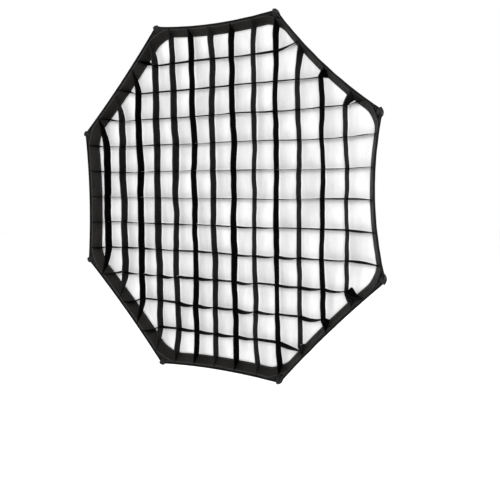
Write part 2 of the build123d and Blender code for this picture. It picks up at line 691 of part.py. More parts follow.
def write_diffusers():
    save("inner_baffle", inner_baffle())
    save("baffle_straps", *all_round(baffle_strap(), HALF_SIDE))
    save("baffle_clips", *all_round(baffle_clip(), HALF_SIDE))
    save("front_diffuser", front_diffuser())
    hook_tape = lip_tape(DIFFUSER_RECESS, HOOK_TAPE_REAR, HOOK_INSET)
    save("diffuser_hook_tape", *all_round(hook_tape))


def write_grid():
    rear = GRID_RECESS + GRID_DEPTH + GRID_TAPE_MARGIN
    save("grid_border_tape", *all_round(lip_tape(GRID_TAPE_FRONT, rear, HOOK_INSET)))
    upright = [strip(x, LEVEL_PLACES, "z") for x in UPRIGHT_PLACES]
    level = [strip(z, UPRIGHT_PLACES, "x") for z in LEVEL_PLACES]
    save("grid_upright_strips", *upright)
    save("grid_level_strips", *level)


os.makedirs("parts", exist_ok=True)
write_speed_ring()
write_rods()
write_shell()
write_diffusers()
write_grid()
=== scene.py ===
"""Looks of a rod-frame octagonal softbox with a fabric grid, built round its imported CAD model.

The lamp's bayonet face is the plane y = 0, the light leaves towards -Y and Z is up. Metres throughout.
A place on the shell is given by a turn, a depth and an inset. The turn runs from 0 to 8 round the axis and
is a whole number in the middle of each side, 0 at the right. The depth is how far a point lies in front of
the bayonet face. The inset is how far it lies inside the cloth of the shell.
"""
import bmesh
import bpy
from math import asin, atan2, cos, exp, floor, hypot, pi, radians, sin, sqrt, tan
from mathutils import Matrix, Vector, noise


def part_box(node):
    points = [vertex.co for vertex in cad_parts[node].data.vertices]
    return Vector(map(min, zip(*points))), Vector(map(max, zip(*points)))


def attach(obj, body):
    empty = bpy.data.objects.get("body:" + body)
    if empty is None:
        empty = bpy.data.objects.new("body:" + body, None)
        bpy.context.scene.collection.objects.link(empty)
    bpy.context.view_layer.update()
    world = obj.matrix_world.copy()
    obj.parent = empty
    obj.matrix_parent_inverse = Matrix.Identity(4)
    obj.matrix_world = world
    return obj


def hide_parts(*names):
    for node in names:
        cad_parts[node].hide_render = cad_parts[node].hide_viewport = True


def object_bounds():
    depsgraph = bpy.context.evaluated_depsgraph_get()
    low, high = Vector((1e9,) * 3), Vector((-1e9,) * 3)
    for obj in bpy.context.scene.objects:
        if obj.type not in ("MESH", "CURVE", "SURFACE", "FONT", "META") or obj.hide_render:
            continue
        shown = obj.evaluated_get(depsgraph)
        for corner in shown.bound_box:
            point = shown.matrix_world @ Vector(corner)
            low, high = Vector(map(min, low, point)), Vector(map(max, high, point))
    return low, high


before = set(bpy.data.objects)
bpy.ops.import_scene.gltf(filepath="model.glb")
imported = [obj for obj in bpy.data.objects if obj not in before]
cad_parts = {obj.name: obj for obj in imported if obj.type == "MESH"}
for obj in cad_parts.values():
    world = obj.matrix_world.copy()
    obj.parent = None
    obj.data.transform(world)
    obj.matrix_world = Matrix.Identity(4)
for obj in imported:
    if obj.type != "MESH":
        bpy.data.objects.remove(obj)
CAD_BOX = [list(corner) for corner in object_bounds()]

# ---------------------------------------------------------------- sizes
SIDES = 8
HALF_SIDE = pi / SIDES
ROD_TURN = radians(30)  # how far a rod bends between its socket and its tip
REAR_SAG = 0.035  # how far a panel pulls in between two rods at the ring, as a share of its width
HEM_SAG = (0.033, 0.022, 0.019, 0.009, 0.014, 0.008, 0.012, 0.009)  # metres at each side's hem
# How far each corner has flexed from its regular place at the hem, (x, z) in metres.
CORNER_FLEX = ((0.001, 0.014), (-0.004, -0.002), (0.000, 0.005), (-0.008, -0.008),
               (-0.008, -0.003), (-0.002, -0.014), (-0.004, -0.010), (0.012, 0.003))
SHELL_CLOTH = 0.0009
TAPE = 0.0012
LAYER_GAP = 0.0003
ROD_OFFSET = 0.0074  # from a seam to the rod inside it
CAP_RADIUS = 0.0055
TAPE_END_ROOM = 0.018  # from a lip tape's end to the corner
POCKET_WIDTH = 0.030
POCKET_WEBBING = 0.0015

GRID_CLOTH_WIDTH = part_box("grid_upright_strips")[1].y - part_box("grid_upright_strips")[0].y
panel_low, panel_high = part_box("shell_panel_1")
HEM_DEPTH = -panel_low.y
HEM_RADIUS = panel_high.z / sin(HALF_SIDE)
START_RADIUS = panel_low.x / (cos(HALF_SIDE) - 2 * REAR_SAG * sin(HALF_SIDE))
START_DEPTH = -panel_high.y + SHELL_CLOTH

LOOP_INSET = TAPE + LAYER_GAP / 2
HOOK_INSET = LOOP_INSET + LAYER_GAP + TAPE


def seam_arc():
    """Centre (radius, depth) and radius of every seam's arc, and its headings at the ring and hem."""
    across, along = HEM_RADIUS - START_RADIUS, HEM_DEPTH - START_DEPTH
    chord = atan2(across, along)
    arc = hypot(across, along) / 2 / sin(ROD_TURN / 2)
    first, last = chord + ROD_TURN / 2, chord - ROD_TURN / 2
    return (START_RADIUS - arc * cos(first), START_DEPTH + arc * sin(first)), arc, first, last


ARC_CENTRE, ARC_RADIUS, RING_HEADING, HEM_HEADING = seam_arc()
FLEX_START = -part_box("inner_baffle")[0].y + 0.02


def arc_point(heading, inset=0.0):
    """(radius, depth) on a seam's arc moved inwards by inset."""
    reach = ARC_RADIUS - inset
    return ARC_CENTRE[0] + reach * cos(heading), ARC_CENTRE[1] - reach * sin(heading)


def heading_at(depth, inset=0.0):
    """Heading of a seam's arc at a depth."""
    return asin((ARC_CENTRE[1] - depth) / (ARC_RADIUS - inset))


def turned(x, depth, z, side):
    """A point made on the right-hand side, moved round to another side."""
    angle = 2 * HALF_SIDE * side
    return Vector((x * cos(angle) - z * sin(angle), -depth, x * sin(angle) + z * cos(angle)))


def flexed(point):
    """Moves a point with the corners beside it, which flex more the nearer they are to the hem."""
    forward = max(0.0, (-point.y - FLEX_START) / (HEM_DEPTH - FLEX_START)) ** 2
    if not forward:
        return point
    turn = (atan2(point.z, point.x) / (2 * HALF_SIDE)) % SIDES
    before = floor(turn - 0.5) % SIDES
    share = (turn - 0.5) % 1
    weight = forward * min(1.0, hypot(point.x, point.z) / HEM_RADIUS)
    moved = point.copy()
    first, second = CORNER_FLEX[before], CORNER_FLEX[(before + 1) % SIDES]
    moved.x += weight * (first[0] * (1 - share) + second[0] * share)
    moved.z += weight * (first[1] * (1 - share) + second[1] * share)
    return moved


def sag_share(side, heading):
    """How far a side's cloth pulls in at a heading, as a share of its width."""
    forward = (RING_HEADING - heading) / (RING_HEADING - HEM_HEADING)
    at_hem = HEM_SAG[side % SIDES] / (2 * HEM_RADIUS * sin(HALF_SIDE))
    return REAR_SAG + (at_hem - REAR_SAG) * forward ** 2


def shell_point(turn, heading, inset=0.0):
    """Point on the shell. A negative inset is outside the cloth."""
    side = round(turn)
    across = 2 * (turn - side)
    radius, depth = arc_point(heading, inset / cos(HALF_SIDE))
    half = radius * sin(HALF_SIDE)
    out = radius * cos(HALF_SIDE) - 2 * sag_share(side, heading) * half * (1 - across * across)
    return flexed(turned(out, depth, across * half, side))


def corner_limit(depth):
    """How far out anything inside the corner pockets may reach at a depth."""
    radius, at = arc_point(HEM_HEADING, ROD_OFFSET)
    inwards = CAP_RADIUS + POCKET_WEBBING + 0.0035
    radius, at = radius - inwards * cos(HEM_HEADING), at + inwards * sin(HEM_HEADING)
    return radius + (depth - at) * tan(HEM_HEADING)


def lining_point(turn, depth, inset):
    """Point on the lip's lining, which cuts each corner behind the pocket there."""
    side = round(turn)
    across = 2 * (turn - side)
    heading = heading_at(depth, inset / cos(HALF_SIDE))
    radius, _ = arc_point(heading, inset / cos(HALF_SIDE))
    half = radius * sin(HALF_SIDE)
    out = radius * cos(HALF_SIDE) - 2 * sag_share(side, heading) * half * (1 - across * across)
    across_way = abs(across) * half
    beyond = out * cos(HALF_SIDE) + across_way * sin(HALF_SIDE) - corner_limit(depth)
    beyond = (beyond + sqrt(beyond * beyond + 0.008 ** 2)) / 2
    beyond *= max(0.0, min(1.0, (abs(across) - 0.80) / 0.08))
    out -= beyond * cos(HALF_SIDE)
    across_way -= beyond * sin(HALF_SIDE)
    return flexed(turned(out, depth, across_way if across > 0 else -across_way, side))


# ---------------------------------------------------------------- node helpers
def tangle(tree, kind, inputs=None, **settings):
    """Adds a node, sets its properties and fills or links its inputs."""
    node = tree.nodes.new(kind)
    for name, value in settings.items():
        setattr(node, name, value)
    for name, value in (inputs or {}).items():
        if isinstance(value, bpy.types.NodeSocket):
            tree.links.new(value, node.inputs[name])
        else:
            node.inputs[name].default_value = value
    return node


def group(name, inputs, outputs):
    """New shader node group with float or colour sockets, and its input and output nodes."""
    tree = bpy.data.node_groups.new(name, "ShaderNodeTree")
    for label, kind, default in inputs:
        socket = tree.interface.new_socket(label, in_out="INPUT", socket_type=kind)
        if default is not None:
            socket.default_value = default
    for label, kind in outputs:
        tree.interface.new_socket(label, in_out="OUTPUT", socket_type=kind)
    return tree, tree.nodes.new("NodeGroupInput"), tree.nodes.new("NodeGroupOutput")


FLOAT, VECTOR = "NodeSocketFloat", "NodeSocketVector"


def maths(tree, operation, a, b=0.0, clamp=False):
    """Output of a math node."""
    node = tree.nodes.new("ShaderNodeMath")
    node.operation = operation
    node.use_clamp = clamp
    for socket, value in zip(node.inputs, (a, b)):
        if isinstance(value, bpy.types.NodeSocket):
            tree.links.new(value, socket)
        else:
            socket.default_value = value
    return node.outputs[0]


def mixed(tree, share, a, b):
    """Output of a colour mix node."""
    node = tree.nodes.new("ShaderNodeMix")
    node.data_type = "RGBA"
    for socket, value in zip((node.inputs[0], node.inputs[6], node.inputs[7]), (share, a, b)):
        if isinstance(value, bpy.types.NodeSocket):
            tree.links.new(value, socket)
        else:
            socket.default_value = value
    return node.outputs[2]


def ranged(tree, value, low, high, to_low, to_high):
    """Output of a map range node that clamps."""
    node = tangle(tree, "ShaderNodeMapRange", {"Value": value, "From Min": low, "From Max": high,
                                              "To Min": to_low, "To Max": to_high})
    return node.outputs[0]


def noise_value(tree, vector, scale, detail=3.0, rough=0.5):
    """Output of a noise node."""
    node = tangle(tree, "ShaderNodeTexNoise", {"Vector": vector, "Scale": scale, "Detail": detail,
                                              "Roughness": rough})
    return node.outputs[0]


def weave_group():
    """Plain weave: two crossed sets of threads, with uneven ones among them."""
    tree, start, end = group("plain_weave", [("Vector", VECTOR, None), ("Threads per metre", FLOAT, 1500.0)],
                             [("Height", FLOAT), ("Unevenness", FLOAT)])
    parts = tangle(tree, "ShaderNodeSeparateXYZ", {0: start.outputs["Vector"]})
    waves = []
    for axis in (0, 1):
        turns = maths(tree, "MULTIPLY", parts.outputs[axis], start.outputs["Threads per metre"])
        waves.append(maths(tree, "SINE", maths(tree, "MULTIPLY", turns, pi)))
    crossed = maths(tree, "MULTIPLY", waves[0], waves[1])
    height = maths(tree, "ADD", maths(tree, "MULTIPLY", crossed, 0.5), 0.5)
    slub = noise_value(tree, start.outputs["Vector"], 90.0, 4.0, 0.6)
    tree.links.new(height, end.inputs["Height"])
    tree.links.new(slub, end.inputs["Unevenness"])
    return tree


def lint_group():
    """Specks and short fibres of dust that dark cloth picks up."""
    tree, start, end = group("lint", [("Vector", VECTOR, None), ("Scale", FLOAT, 60.0),
                                      ("Amount", FLOAT, 0.5)], [("Mask", FLOAT)])
    stretched = tangle(tree, "ShaderNodeMapping", {"Vector": start.outputs["Vector"],
                                                  "Scale": (1.0, 0.25, 1.0), "Rotation": (0, 0, 0.6)})
    cells = tangle(tree, "ShaderNodeTexVoronoi", {"Vector": stretched.outputs[0],
                                                 "Scale": start.outputs["Scale"]}, feature="F1")
    speck = ranged(tree, cells.outputs["Distance"], 0.03, 0.10, 1.0, 0.0)
    cloud = noise_value(tree, start.outputs["Vector"], 5.0, 4.0, 0.6)
    patch = ranged(tree, cloud, 0.42, 0.68, 0.0, 1.0)
    mask = maths(tree, "MULTIPLY", maths(tree, "MULTIPLY", speck, patch), start.outputs["Amount"])
    tree.links.new(mask, end.inputs["Mask"])
    return tree


def stitch_group():
    """Row of stitches along the U axis, at a place on the V axis."""
    tree, start, end = group("stitch_row", [("Vector", VECTOR, None), ("Place", FLOAT, 0.004),
                                            ("Pitch", FLOAT, 0.0035), ("Width", FLOAT, 0.0007)],
                             [("Mask", FLOAT)])
    parts = tangle(tree, "ShaderNodeSeparateXYZ", {0: start.outputs["Vector"]})
    aside = maths(tree, "ABSOLUTE", maths(tree, "SUBTRACT", parts.outputs[1], start.outputs["Place"]))
    on_row = maths(tree, "LESS_THAN", aside, start.outputs["Width"])
    steps = maths(tree, "DIVIDE", parts.outputs[0], start.outputs["Pitch"])
    dash = maths(tree, "LESS_THAN", maths(tree, "FRACT", steps), 0.72)
    tree.links.new(maths(tree, "MULTIPLY", on_row, dash), end.inputs["Mask"])
    return tree


def wear_group():
    """Paint or plating rubbed through at convex edges, broken up by noise."""
    tree, start, end = group("edge_wear", [("Vector", VECTOR, None), ("Sharpness", FLOAT, 0.5),
                                           ("Scale", FLOAT, 300.0)], [("Mask", FLOAT)])
    facts = tree.nodes.new("ShaderNodeNewGeometry")
    edge = ranged(tree, facts.outputs["Pointiness"], 0.54, 0.72, 0.0, 1.0)
    grain = noise_value(tree, start.outputs["Vector"], start.outputs["Scale"], 5.0, 0.65)
    broken = ranged(tree, grain, 0.58, 0.68, 0.0, 1.0)
    mask = maths(tree, "MULTIPLY", maths(tree, "MULTIPLY", edge, broken), start.outputs["Sharpness"])
    tree.links.new(mask, end.inputs["Mask"])
    return tree


WEAVE, LINT, STITCHES, WEAR = weave_group(), lint_group(), stitch_group(), wear_group()


def effect(tree, which, vector, **values):
    """Places one of the shared effects in a material."""
    node = tree.nodes.new("ShaderNodeGroup")
    node.node_tree = which
    tree.links.new(vector, node.inputs["Vector"])
    for name, value in values.items():
        node.inputs[name.replace("_", " ")].default_value = value
    return node


def finish_of(name, **plain):
    """New material with its shader, and the values that are the same all over."""
    made = bpy.data.materials.new(name)
    made.use_nodes = True
    shader = made.node_tree.nodes["Principled BSDF"]
    for label, value in plain.items():
        shader.inputs[label.replace("_", " ")].default_value = value
    return made, made.node_tree, shader


def on_surface(tree):
    """The piece's own UV map, in metres along and across the cloth."""
    return tangle(tree, "ShaderNodeUVMap", uv_map="UVMap").outputs[0]


def in_space(tree):
    """Object coordinates, in metres."""
    return tree.nodes.new("ShaderNodeTexCoord").outputs["Object"]


def bumped(tree, shader, height, distance, strength=1.0):
    """Feeds a height to the shader's normal."""
    node = tangle(tree, "ShaderNodeBump", {"Height": height, "Distance": distance, "Strength": strength})
    tree.links.new(node.outputs[0], shader.inputs["Normal"])


def cloth_finish(name, colour, light_colour, threads, rough=(0.5, 0.7), bump=0.00012, lint=0.0,
                 sheen=0.02, stitch_places=(), stitch_colour=(0.05, 0.05, 0.05, 1), gloss=0.10,
                 creases=0.0, **plain):
    """Woven cloth with uneven dye, optional rows of stitches and optional lint."""
    made, tree, shader = finish_of(name, Sheen_Weight=sheen, Sheen_Roughness=0.4,
                                   Specular_IOR_Level=gloss, **plain)
    vector = on_surface(tree)
    weave = effect(tree, WEAVE, vector, Threads_per_metre=threads)
    patchy = noise_value(tree, vector, 7.0, 5.0, 0.55)
    shade = mixed(tree, ranged(tree, patchy, 0.35, 0.65, 0.0, 1.0), colour, light_colour)
    shade = mixed(tree, ranged(tree, weave.outputs["Unevenness"], 0.45, 0.8, 0.0, 0.35), shade, light_colour)
    height = weave.outputs["Height"]
    for place in stitch_places:
        row = effect(tree, STITCHES, vector, Place=place)
        shade = mixed(tree, row.outputs[0], shade, stitch_colour)
        height = maths(tree, "ADD", height, maths(tree, "MULTIPLY", row.outputs[0], 3.0))
    if creases:
        rumple = noise_value(tree, vector, 38.0, 4.0, 0.6)
        height = maths(tree, "ADD", height, maths(tree, "MULTIPLY", rumple, creases))
    if lint:
        specks = effect(tree, LINT, vector, Amount=lint)
        shade = mixed(tree, specks.outputs[0], shade, (0.25, 0.25, 0.24, 1))
    tree.links.new(shade, shader.inputs["Base Color"])
    tree.links.new(ranged(tree, patchy, 0.3, 0.7, *rough), shader.inputs["Roughness"])
    bumped(tree, shader, height, bump)
    return made


def grey(value, warm=0.0):
    return (value * (1 + warm), value, value * (1 - warm), 1.0)


def shell_outer_finish():
    """Black coated nylon with a ripstop square every 6 mm."""
    made, tree, shader = finish_of("black_ripstop_nylon", Sheen_Weight=0.04, Sheen_Roughness=0.45,
                                   Specular_IOR_Level=0.28)
    vector = on_surface(tree)
    weave = effect(tree, WEAVE, vector, Threads_per_metre=2600.0)
    parts = tangle(tree, "ShaderNodeSeparateXYZ", {0: vector})
    ribs = []
    for axis in (0, 1):
        cell = maths(tree, "FRACT", maths(tree, "MULTIPLY", parts.outputs[axis], 1 / 0.006))
        ribs.append(maths(tree, "LESS_THAN", cell, 0.12))
    rib = maths(tree, "MAXIMUM", *ribs)
    patchy = noise_value(tree, vector, 4.0, 6.0, 0.55)
    shade = mixed(tree, ranged(tree, patchy, 0.35, 0.7, 0.0, 1.0), grey(0.007), grey(0.014, 0.02))
    shade = mixed(tree, maths(tree, "MULTIPLY", rib, 0.35), shade, grey(0.024))
    specks = effect(tree, LINT, vector, Scale=90.0, Amount=0.16)
    shade = mixed(tree, specks.outputs[0], shade, grey(0.22, 0.03))
    tree.links.new(shade, shader.inputs["Base Color"])
    tree.links.new(ranged(tree, patchy, 0.3, 0.7, 0.34, 0.52), shader.inputs["Roughness"])
    creases = noise_value(tree, vector, 22.0, 6.0, 0.62)
    height = maths(tree, "ADD", maths(tree, "MULTIPLY", rib, 0.25), maths(tree, "MULTIPLY", creases, 6.0))
    height = maths(tree, "ADD", height, maths(tree, "MULTIPLY", weave.outputs["Height"], 0.2))
    bumped(tree, shader, height, 0.00035)
    return made


def shell_inner_finish():
    """Silver pebbled coating on the shell's inner side."""
    made, tree, shader = finish_of("silver_lining", Metallic=0.85, Specular_IOR_Level=0.5)
    vector = on_surface(tree)
    cells = tangle(tree, "ShaderNodeTexVoronoi", {"Vector": vector, "Scale": 450.0}, feature="F1")
    patchy = noise_value(tree, vector, 9.0, 5.0, 0.6)
    shade = mixed(tree, ranged(tree, patchy, 0.3, 0.7, 0.0, 1.0), grey(0.58), grey(0.72))
    tree.links.new(shade, shader.inputs["Base Color"])
    tree.links.new(ranged(tree, patchy, 0.3, 0.7, 0.28, 0.42), shader.inputs["Roughness"])
    bumped(tree, shader, cells.outputs["Distance"], 0.0003)
    return made


def diffuser_finish(name, low, high):
    """Thin white nylon, with soft creases from being folded away."""
    made, tree, shader = finish_of(name, Sheen_Weight=0.2, Sheen_Roughness=0.5, Specular_IOR_Level=0.25,
                                   Subsurface_Weight=0.0, Transmission_Weight=0.0)
    vector = on_surface(tree)
    weave = effect(tree, WEAVE, vector, Threads_per_metre=2400.0)
    stretched = tangle(tree, "ShaderNodeMapping", {"Vector": vector, "Scale": (1.0, 0.22, 1.0)})
    folds = noise_value(tree, stretched.outputs[0], 16.0, 5.0, 0.55)
    broad = noise_value(tree, vector, 6.0, 3.0, 0.5)
    # The colour follows the folds: painted shade in the creases, mixed with a broad random tone.
    painted_fold_shade_and_tone = maths(tree, "ADD", maths(tree, "MULTIPLY", folds, 0.6), maths(tree, "MULTIPLY", broad, 0.4))
    shade = mixed(tree, ranged(tree, painted_fold_shade_and_tone, 0.40, 0.60, 0.0, 1.0), low, high)
    tree.links.new(shade, shader.inputs["Base Color"])
    tree.links.new(ranged(tree, folds, 0.3, 0.7, 0.6, 0.75), shader.inputs["Roughness"])
    height = maths(tree, "ADD", maths(tree, "MULTIPLY", folds, 9.0),
                   maths(tree, "MULTIPLY", weave.outputs["Height"], 0.15))
    bumped(tree, shader, height, 0.0005)
    return made


def metal_finish(name, colour, rough, wear_colour, grain_scale, stretch=(1, 1, 1), wear=0.6, metallic=1.0,
                 bump=0.00005, **plain):
    """Metal or painted metal with grain, uneven gloss and rubbed edges."""
    made, tree, shader = finish_of(name, Metallic=metallic, **plain)
    vector = in_space(tree)
    drawn = tangle(tree, "ShaderNodeMapping", {"Vector": vector, "Scale": stretch})
    grain = noise_value(tree, drawn.outputs[0], grain_scale, 6.0, 0.6)
    smear = noise_value(tree, vector, 30.0, 4.0, 0.5)
    worn = effect(tree, WEAR, vector, Sharpness=wear)
    base = mixed(tree, ranged(tree, smear, 0.35, 0.7, 0.0, 1.0), colour,
                 tuple(min(1.0, c * 1.25) for c in colour[:3]) + (1.0,))
    base = mixed(tree, worn.outputs[0], base, wear_colour)
    tree.links.new(base, shader.inputs["Base Color"])
    tree.links.new(ranged(tree, smear, 0.3, 0.7, rough - 0.07, rough + 0.08), shader.inputs["Roughness"])
    bumped(tree, shader, grain, bump)
    return made


def plastic_finish(name, colour, rough=0.5, grain_scale=1800.0):
    """Moulded plastic or rubber with a fine spark-eroded grain."""
    made, tree, shader = finish_of(name, Specular_IOR_Level=0.45)
    vector = in_space(tree)
    grain = noise_value(tree, vector, grain_scale, 3.0, 0.5)
    smear = noise_value(tree, vector, 45.0, 4.0, 0.55)
    worn = effect(tree, WEAR, vector, Sharpness=0.15)
    shade = mixed(tree, ranged(tree, smear, 0.35, 0.7, 0.0, 1.0), colour,
                  tuple(c * 1.3 for c in colour[:3]) + (1.0,))
    shade = mixed(tree, worn.outputs[0], shade, grey(0.12))
    tree.links.new(shade, shader.inputs["Base Color"])
    tree.links.new(ranged(tree, smear, 0.3, 0.7, rough - 0.08, rough + 0.1), shader.inputs["Roughness"])
    bumped(tree, shader, grain, 0.00012)
    return made


BLACK_NYLON = shell_outer_finish()
SILVER = shell_inner_finish()
WHITE_NYLON = diffuser_finish("white_diffuser_nylon", grey(0.54), grey(0.68))
BAFFLE_NYLON = diffuser_finish("white_baffle_nylon", grey(0.76), grey(0.84))
GRID_STITCHES = (0.003, GRID_CLOTH_WIDTH - 0.003)
STRIP_BLACK = cloth_finish("black_strip_cloth", grey(0.0002), grey(0.0012), 1200.0, lint=0.04,
                           sheen=0.0, gloss=0.01, stitch_places=GRID_STITCHES, stitch_colour=grey(0.02))
# Lighter grey copy of the black strip cloth: painted light for uprights that stand in for strips catching
# more light.
STRIP_PAINTED_LIT = cloth_finish("painted_lit_strip_cloth", grey(0.0035), grey(0.008, 0.02), 1200.0, lint=0.08,
                          sheen=0.01, gloss=0.05, stitch_places=GRID_STITCHES, stitch_colour=grey(0.05))
BORDER_CLOTH = cloth_finish("black_border_tape", grey(0.004, 0.10), grey(0.010, 0.10), 1300.0, lint=0.15,
                            sheen=0.02, gloss=0.10, creases=26.0, stitch_places=GRID_STITCHES)
LOOP_CLOTH = cloth_finish("black_loop_pile", grey(0.005), grey(0.012), 900.0, bump=0.0006, lint=0.3,
                          sheen=0.08)
HOOK_CLOTH = cloth_finish("black_hook_tape", grey(0.005), grey(0.011), 700.0, bump=0.0005)
BINDING_CLOTH = cloth_finish("black_binding", grey(0.0015), grey(0.004), 1600.0, gloss=0.05,
                             stitch_places=(0.003, 0.011), stitch_colour=grey(0.012))
WEBBING_CLOTH = cloth_finish("black_webbing", grey(0.006), grey(0.015), 500.0, bump=0.0004,
                             sheen=0.03, gloss=0.12, stitch_places=(0.003, 0.027))
ELASTIC_CLOTH = cloth_finish("white_elastic", grey(0.55), grey(0.68), 700.0, bump=0.0005, sheen=0.3,
                             stitch_places=(0.004, 0.007, 0.010), stitch_colour=grey(0.25))
HEM_CLOTH = cloth_finish("white_baffle_hem", grey(0.66), grey(0.78), 2400.0, sheen=0.2,
                         stitch_places=(0.002, 0.010), stitch_colour=grey(0.42))
CUFF_CLOTH = cloth_finish("black_cuff_nylon", grey(0.006), grey(0.013), 1600.0, bump=0.0003,
                          sheen=0.04, gloss=0.2, lint=0.2, stitch_places=(0.0075, 0.0145),
                          stitch_colour=grey(0.03))
CAST_METAL = metal_finish("blasted_aluminium", grey(0.52), 0.42, grey(0.80), 1400.0, wear=0.5,
                          bump=0.00010)
RING_PAINT = metal_finish("black_powder_coat", grey(0.018), 0.45, grey(0.30), 1600.0, wear=0.25,
                          metallic=0.0, bump=0.00015)
ZINC = metal_finish("zinc_plated_steel", (0.56, 0.57, 0.54, 1), 0.30, grey(0.75), 900.0)
BRASS = metal_finish("turned_brass", (0.60, 0.43, 0.18, 1), 0.28, (0.75, 0.6, 0.35, 1), 900.0)
ROD_STEEL = metal_finish("drawn_rod_steel", grey(0.42), 0.32, grey(0.6), 700.0, wear=0.2)
KNOB_PLASTIC = plastic_finish("knob_nylon", grey(0.016), 0.42)
CAP_RUBBER = plastic_finish("cap_rubber", grey(0.014), 0.62, 900.0)


# ---------------------------------------------------------------- piece helpers
def piece(name, bm, body, finishes, replaced=()):
    """Turns a bmesh into a shown piece that rides on a body."""
    for face in bm.faces:
        face.smooth = True
    mesh = bpy.data.meshes.new(name)
    bm.to_mesh(mesh)
    bm.free()
    made = bpy.data.objects.new(name, mesh)
    bpy.context.collection.objects.link(made)
    for finish in finishes:
        mesh.materials.append(finish)
    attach(made, body)
    if replaced:
        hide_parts(*replaced)
    return made


def thicken(made, thickness, offset=-1.0, inner=0):
    """Gives a sheet its cloth's thickness. inner is the finish of its other side."""
    wall = made.modifiers.new("cloth_thickness", "SOLIDIFY")
    wall.thickness = thickness
    wall.offset = offset
    wall.material_offset = inner
    wall.material_offset_rim = 0
    wall.use_even_offset = False
    return made


def woven(columns, rows, place, size, closed=False):
    """Grid of cloth with a UV map in metres. place(u, v) gives each point for u and v from 0 to 1."""
    bm = bmesh.new()
    bm.loops.layers.uv.new("UVMap")
    bmesh.ops.create_grid(bm, x_segments=columns, y_segments=rows, size=0.5, calc_uvs=True)
    uv = bm.loops.layers.uv.active
    for face in bm.faces:
        for loop in face.loops:
            loop[uv].uv = ((loop.vert.co.x + 0.5) * size[0], (loop.vert.co.y + 0.5) * size[1])
    for vert in bm.verts:
        vert.co = place(vert.co.x + 0.5, vert.co.y + 0.5)
    if closed:
        bmesh.ops.remove_doubles(bm, verts=bm.verts, dist=1e-6)
    bm.normal_update()
    return bm


def outward(bm, centre=Vector((0, -0.25, 0))):
    """Turns a sheet's faces so that they look away from the centre."""
    face = max(bm.faces, key=lambda f: f.calc_area())
    if face.normal.dot(face.calc_center_median() - centre) < 0:
        bmesh.ops.reverse_faces(bm, faces=bm.faces)
    return bm


# ---------------------------------------------------------------- shell
PANEL_LENGTH = ARC_RADIUS * ROD_TURN
LIP_DEPTH = 0.070  # how far back from the hem the shell is black inside


def panel_crease(side, across, forward):
    """How far a shell panel stands out of its smooth shape: creases and gathers."""
    seed = Vector((side * 3.7, 11.0, 0.0))
    half = HEM_RADIUS * sin(HALF_SIDE) * (0.15 + 0.85 * forward)
    x, y = across * half, forward * PANEL_LENGTH
    free = max(0.0, min(1.0, ((1 - abs(across)) * half - 0.006) / 0.035))
    soft = noise.noise(Vector((x * 9, y * 3, 0)) + seed) * 0.0040
    fine = noise.noise(Vector((x * 30, y * 9, 5)) + seed) * 0.0011
    pull = 0.0
    for end in (-1, 1):
        away = Vector((x - end * half, y - PANEL_LENGTH))
        spread = away.length
        ray = atan2(away.x * -end, -away.y)
        fold = sin(ray * 13 + side) * exp(-spread / 0.16) * (1 - exp(-spread / 0.03))
        pull += fold * 0.0050
    gather = sin(across * 12 + side) * exp(-forward * PANEL_LENGTH / 0.07) * 0.0026
    lift = soft + fine + pull + gather
    on_lip = max(0.0, min(1.0, (forward * PANEL_LENGTH - PANEL_LENGTH + 0.10) / 0.03))
    return (lift * (1 - on_lip) + abs(lift) * 0.6 * on_lip) * free * free * (3 - 2 * free)


def shell_panel(side):
    """One of the shell's eight cloth panels, black outside and silver inside."""
    def place(u, v):
        heading = RING_HEADING + (HEM_HEADING - RING_HEADING) * v
        across = 2 * u - 1
        turn = side + 0.4999999 * across
        return shell_point(turn, heading, -panel_crease(side, across, v))
    bm = outward(woven(40, 80, place, (0.568, PANEL_LENGTH)))
    for face in bm.faces:
        if -face.calc_center_median().y > HEM_DEPTH - LIP_DEPTH:
            face.material_index = 2
    made = piece(f"shell_cloth_{side + 1}", bm, "softbox",
                 [BLACK_NYLON, SILVER, BLACK_NYLON, BLACK_NYLON], [f"shell_panel_{side + 1}"])
    thicken(made, SHELL_CLOTH, offset=1.0, inner=1)
    return made


def seam_binding(corner):
    """Tape that covers the seam between two panels on the outside."""
    width = 0.014
    def place(u, v):
        heading = RING_HEADING + (HEM_HEADING - RING_HEADING) * (0.004 + 0.99 * v)
        radius, _ = arc_point(heading)
        aside = (u - 0.5) * width
        turn = corner + 0.5 + aside / (2 * radius * sin(HALF_SIDE))
        if abs(turn - corner - 0.5) < 1e-9:
            turn -= 1e-7
        ridge = 0.0004 * (1 - (2 * u - 1) ** 2)
        pucker = noise.noise(Vector((v * 90, corner * 5.0, u))) * 0.00025
        return shell_point(turn, heading, -(SHELL_CLOTH + 0.0006 + ridge + pucker))
    bm = outward(woven(8, 160, place, (width, PANEL_LENGTH)))
    uv = bm.loops.layers.uv.active
    for face in bm.faces:
        for loop in face.loops:
            loop[uv].uv = (loop[uv].uv.y, loop[uv].uv.x)
    made = piece(f"seam_binding_{corner + 1}", bm, "softbox", [BINDING_CLOTH])
    thicken(made, 0.0005)
    return made


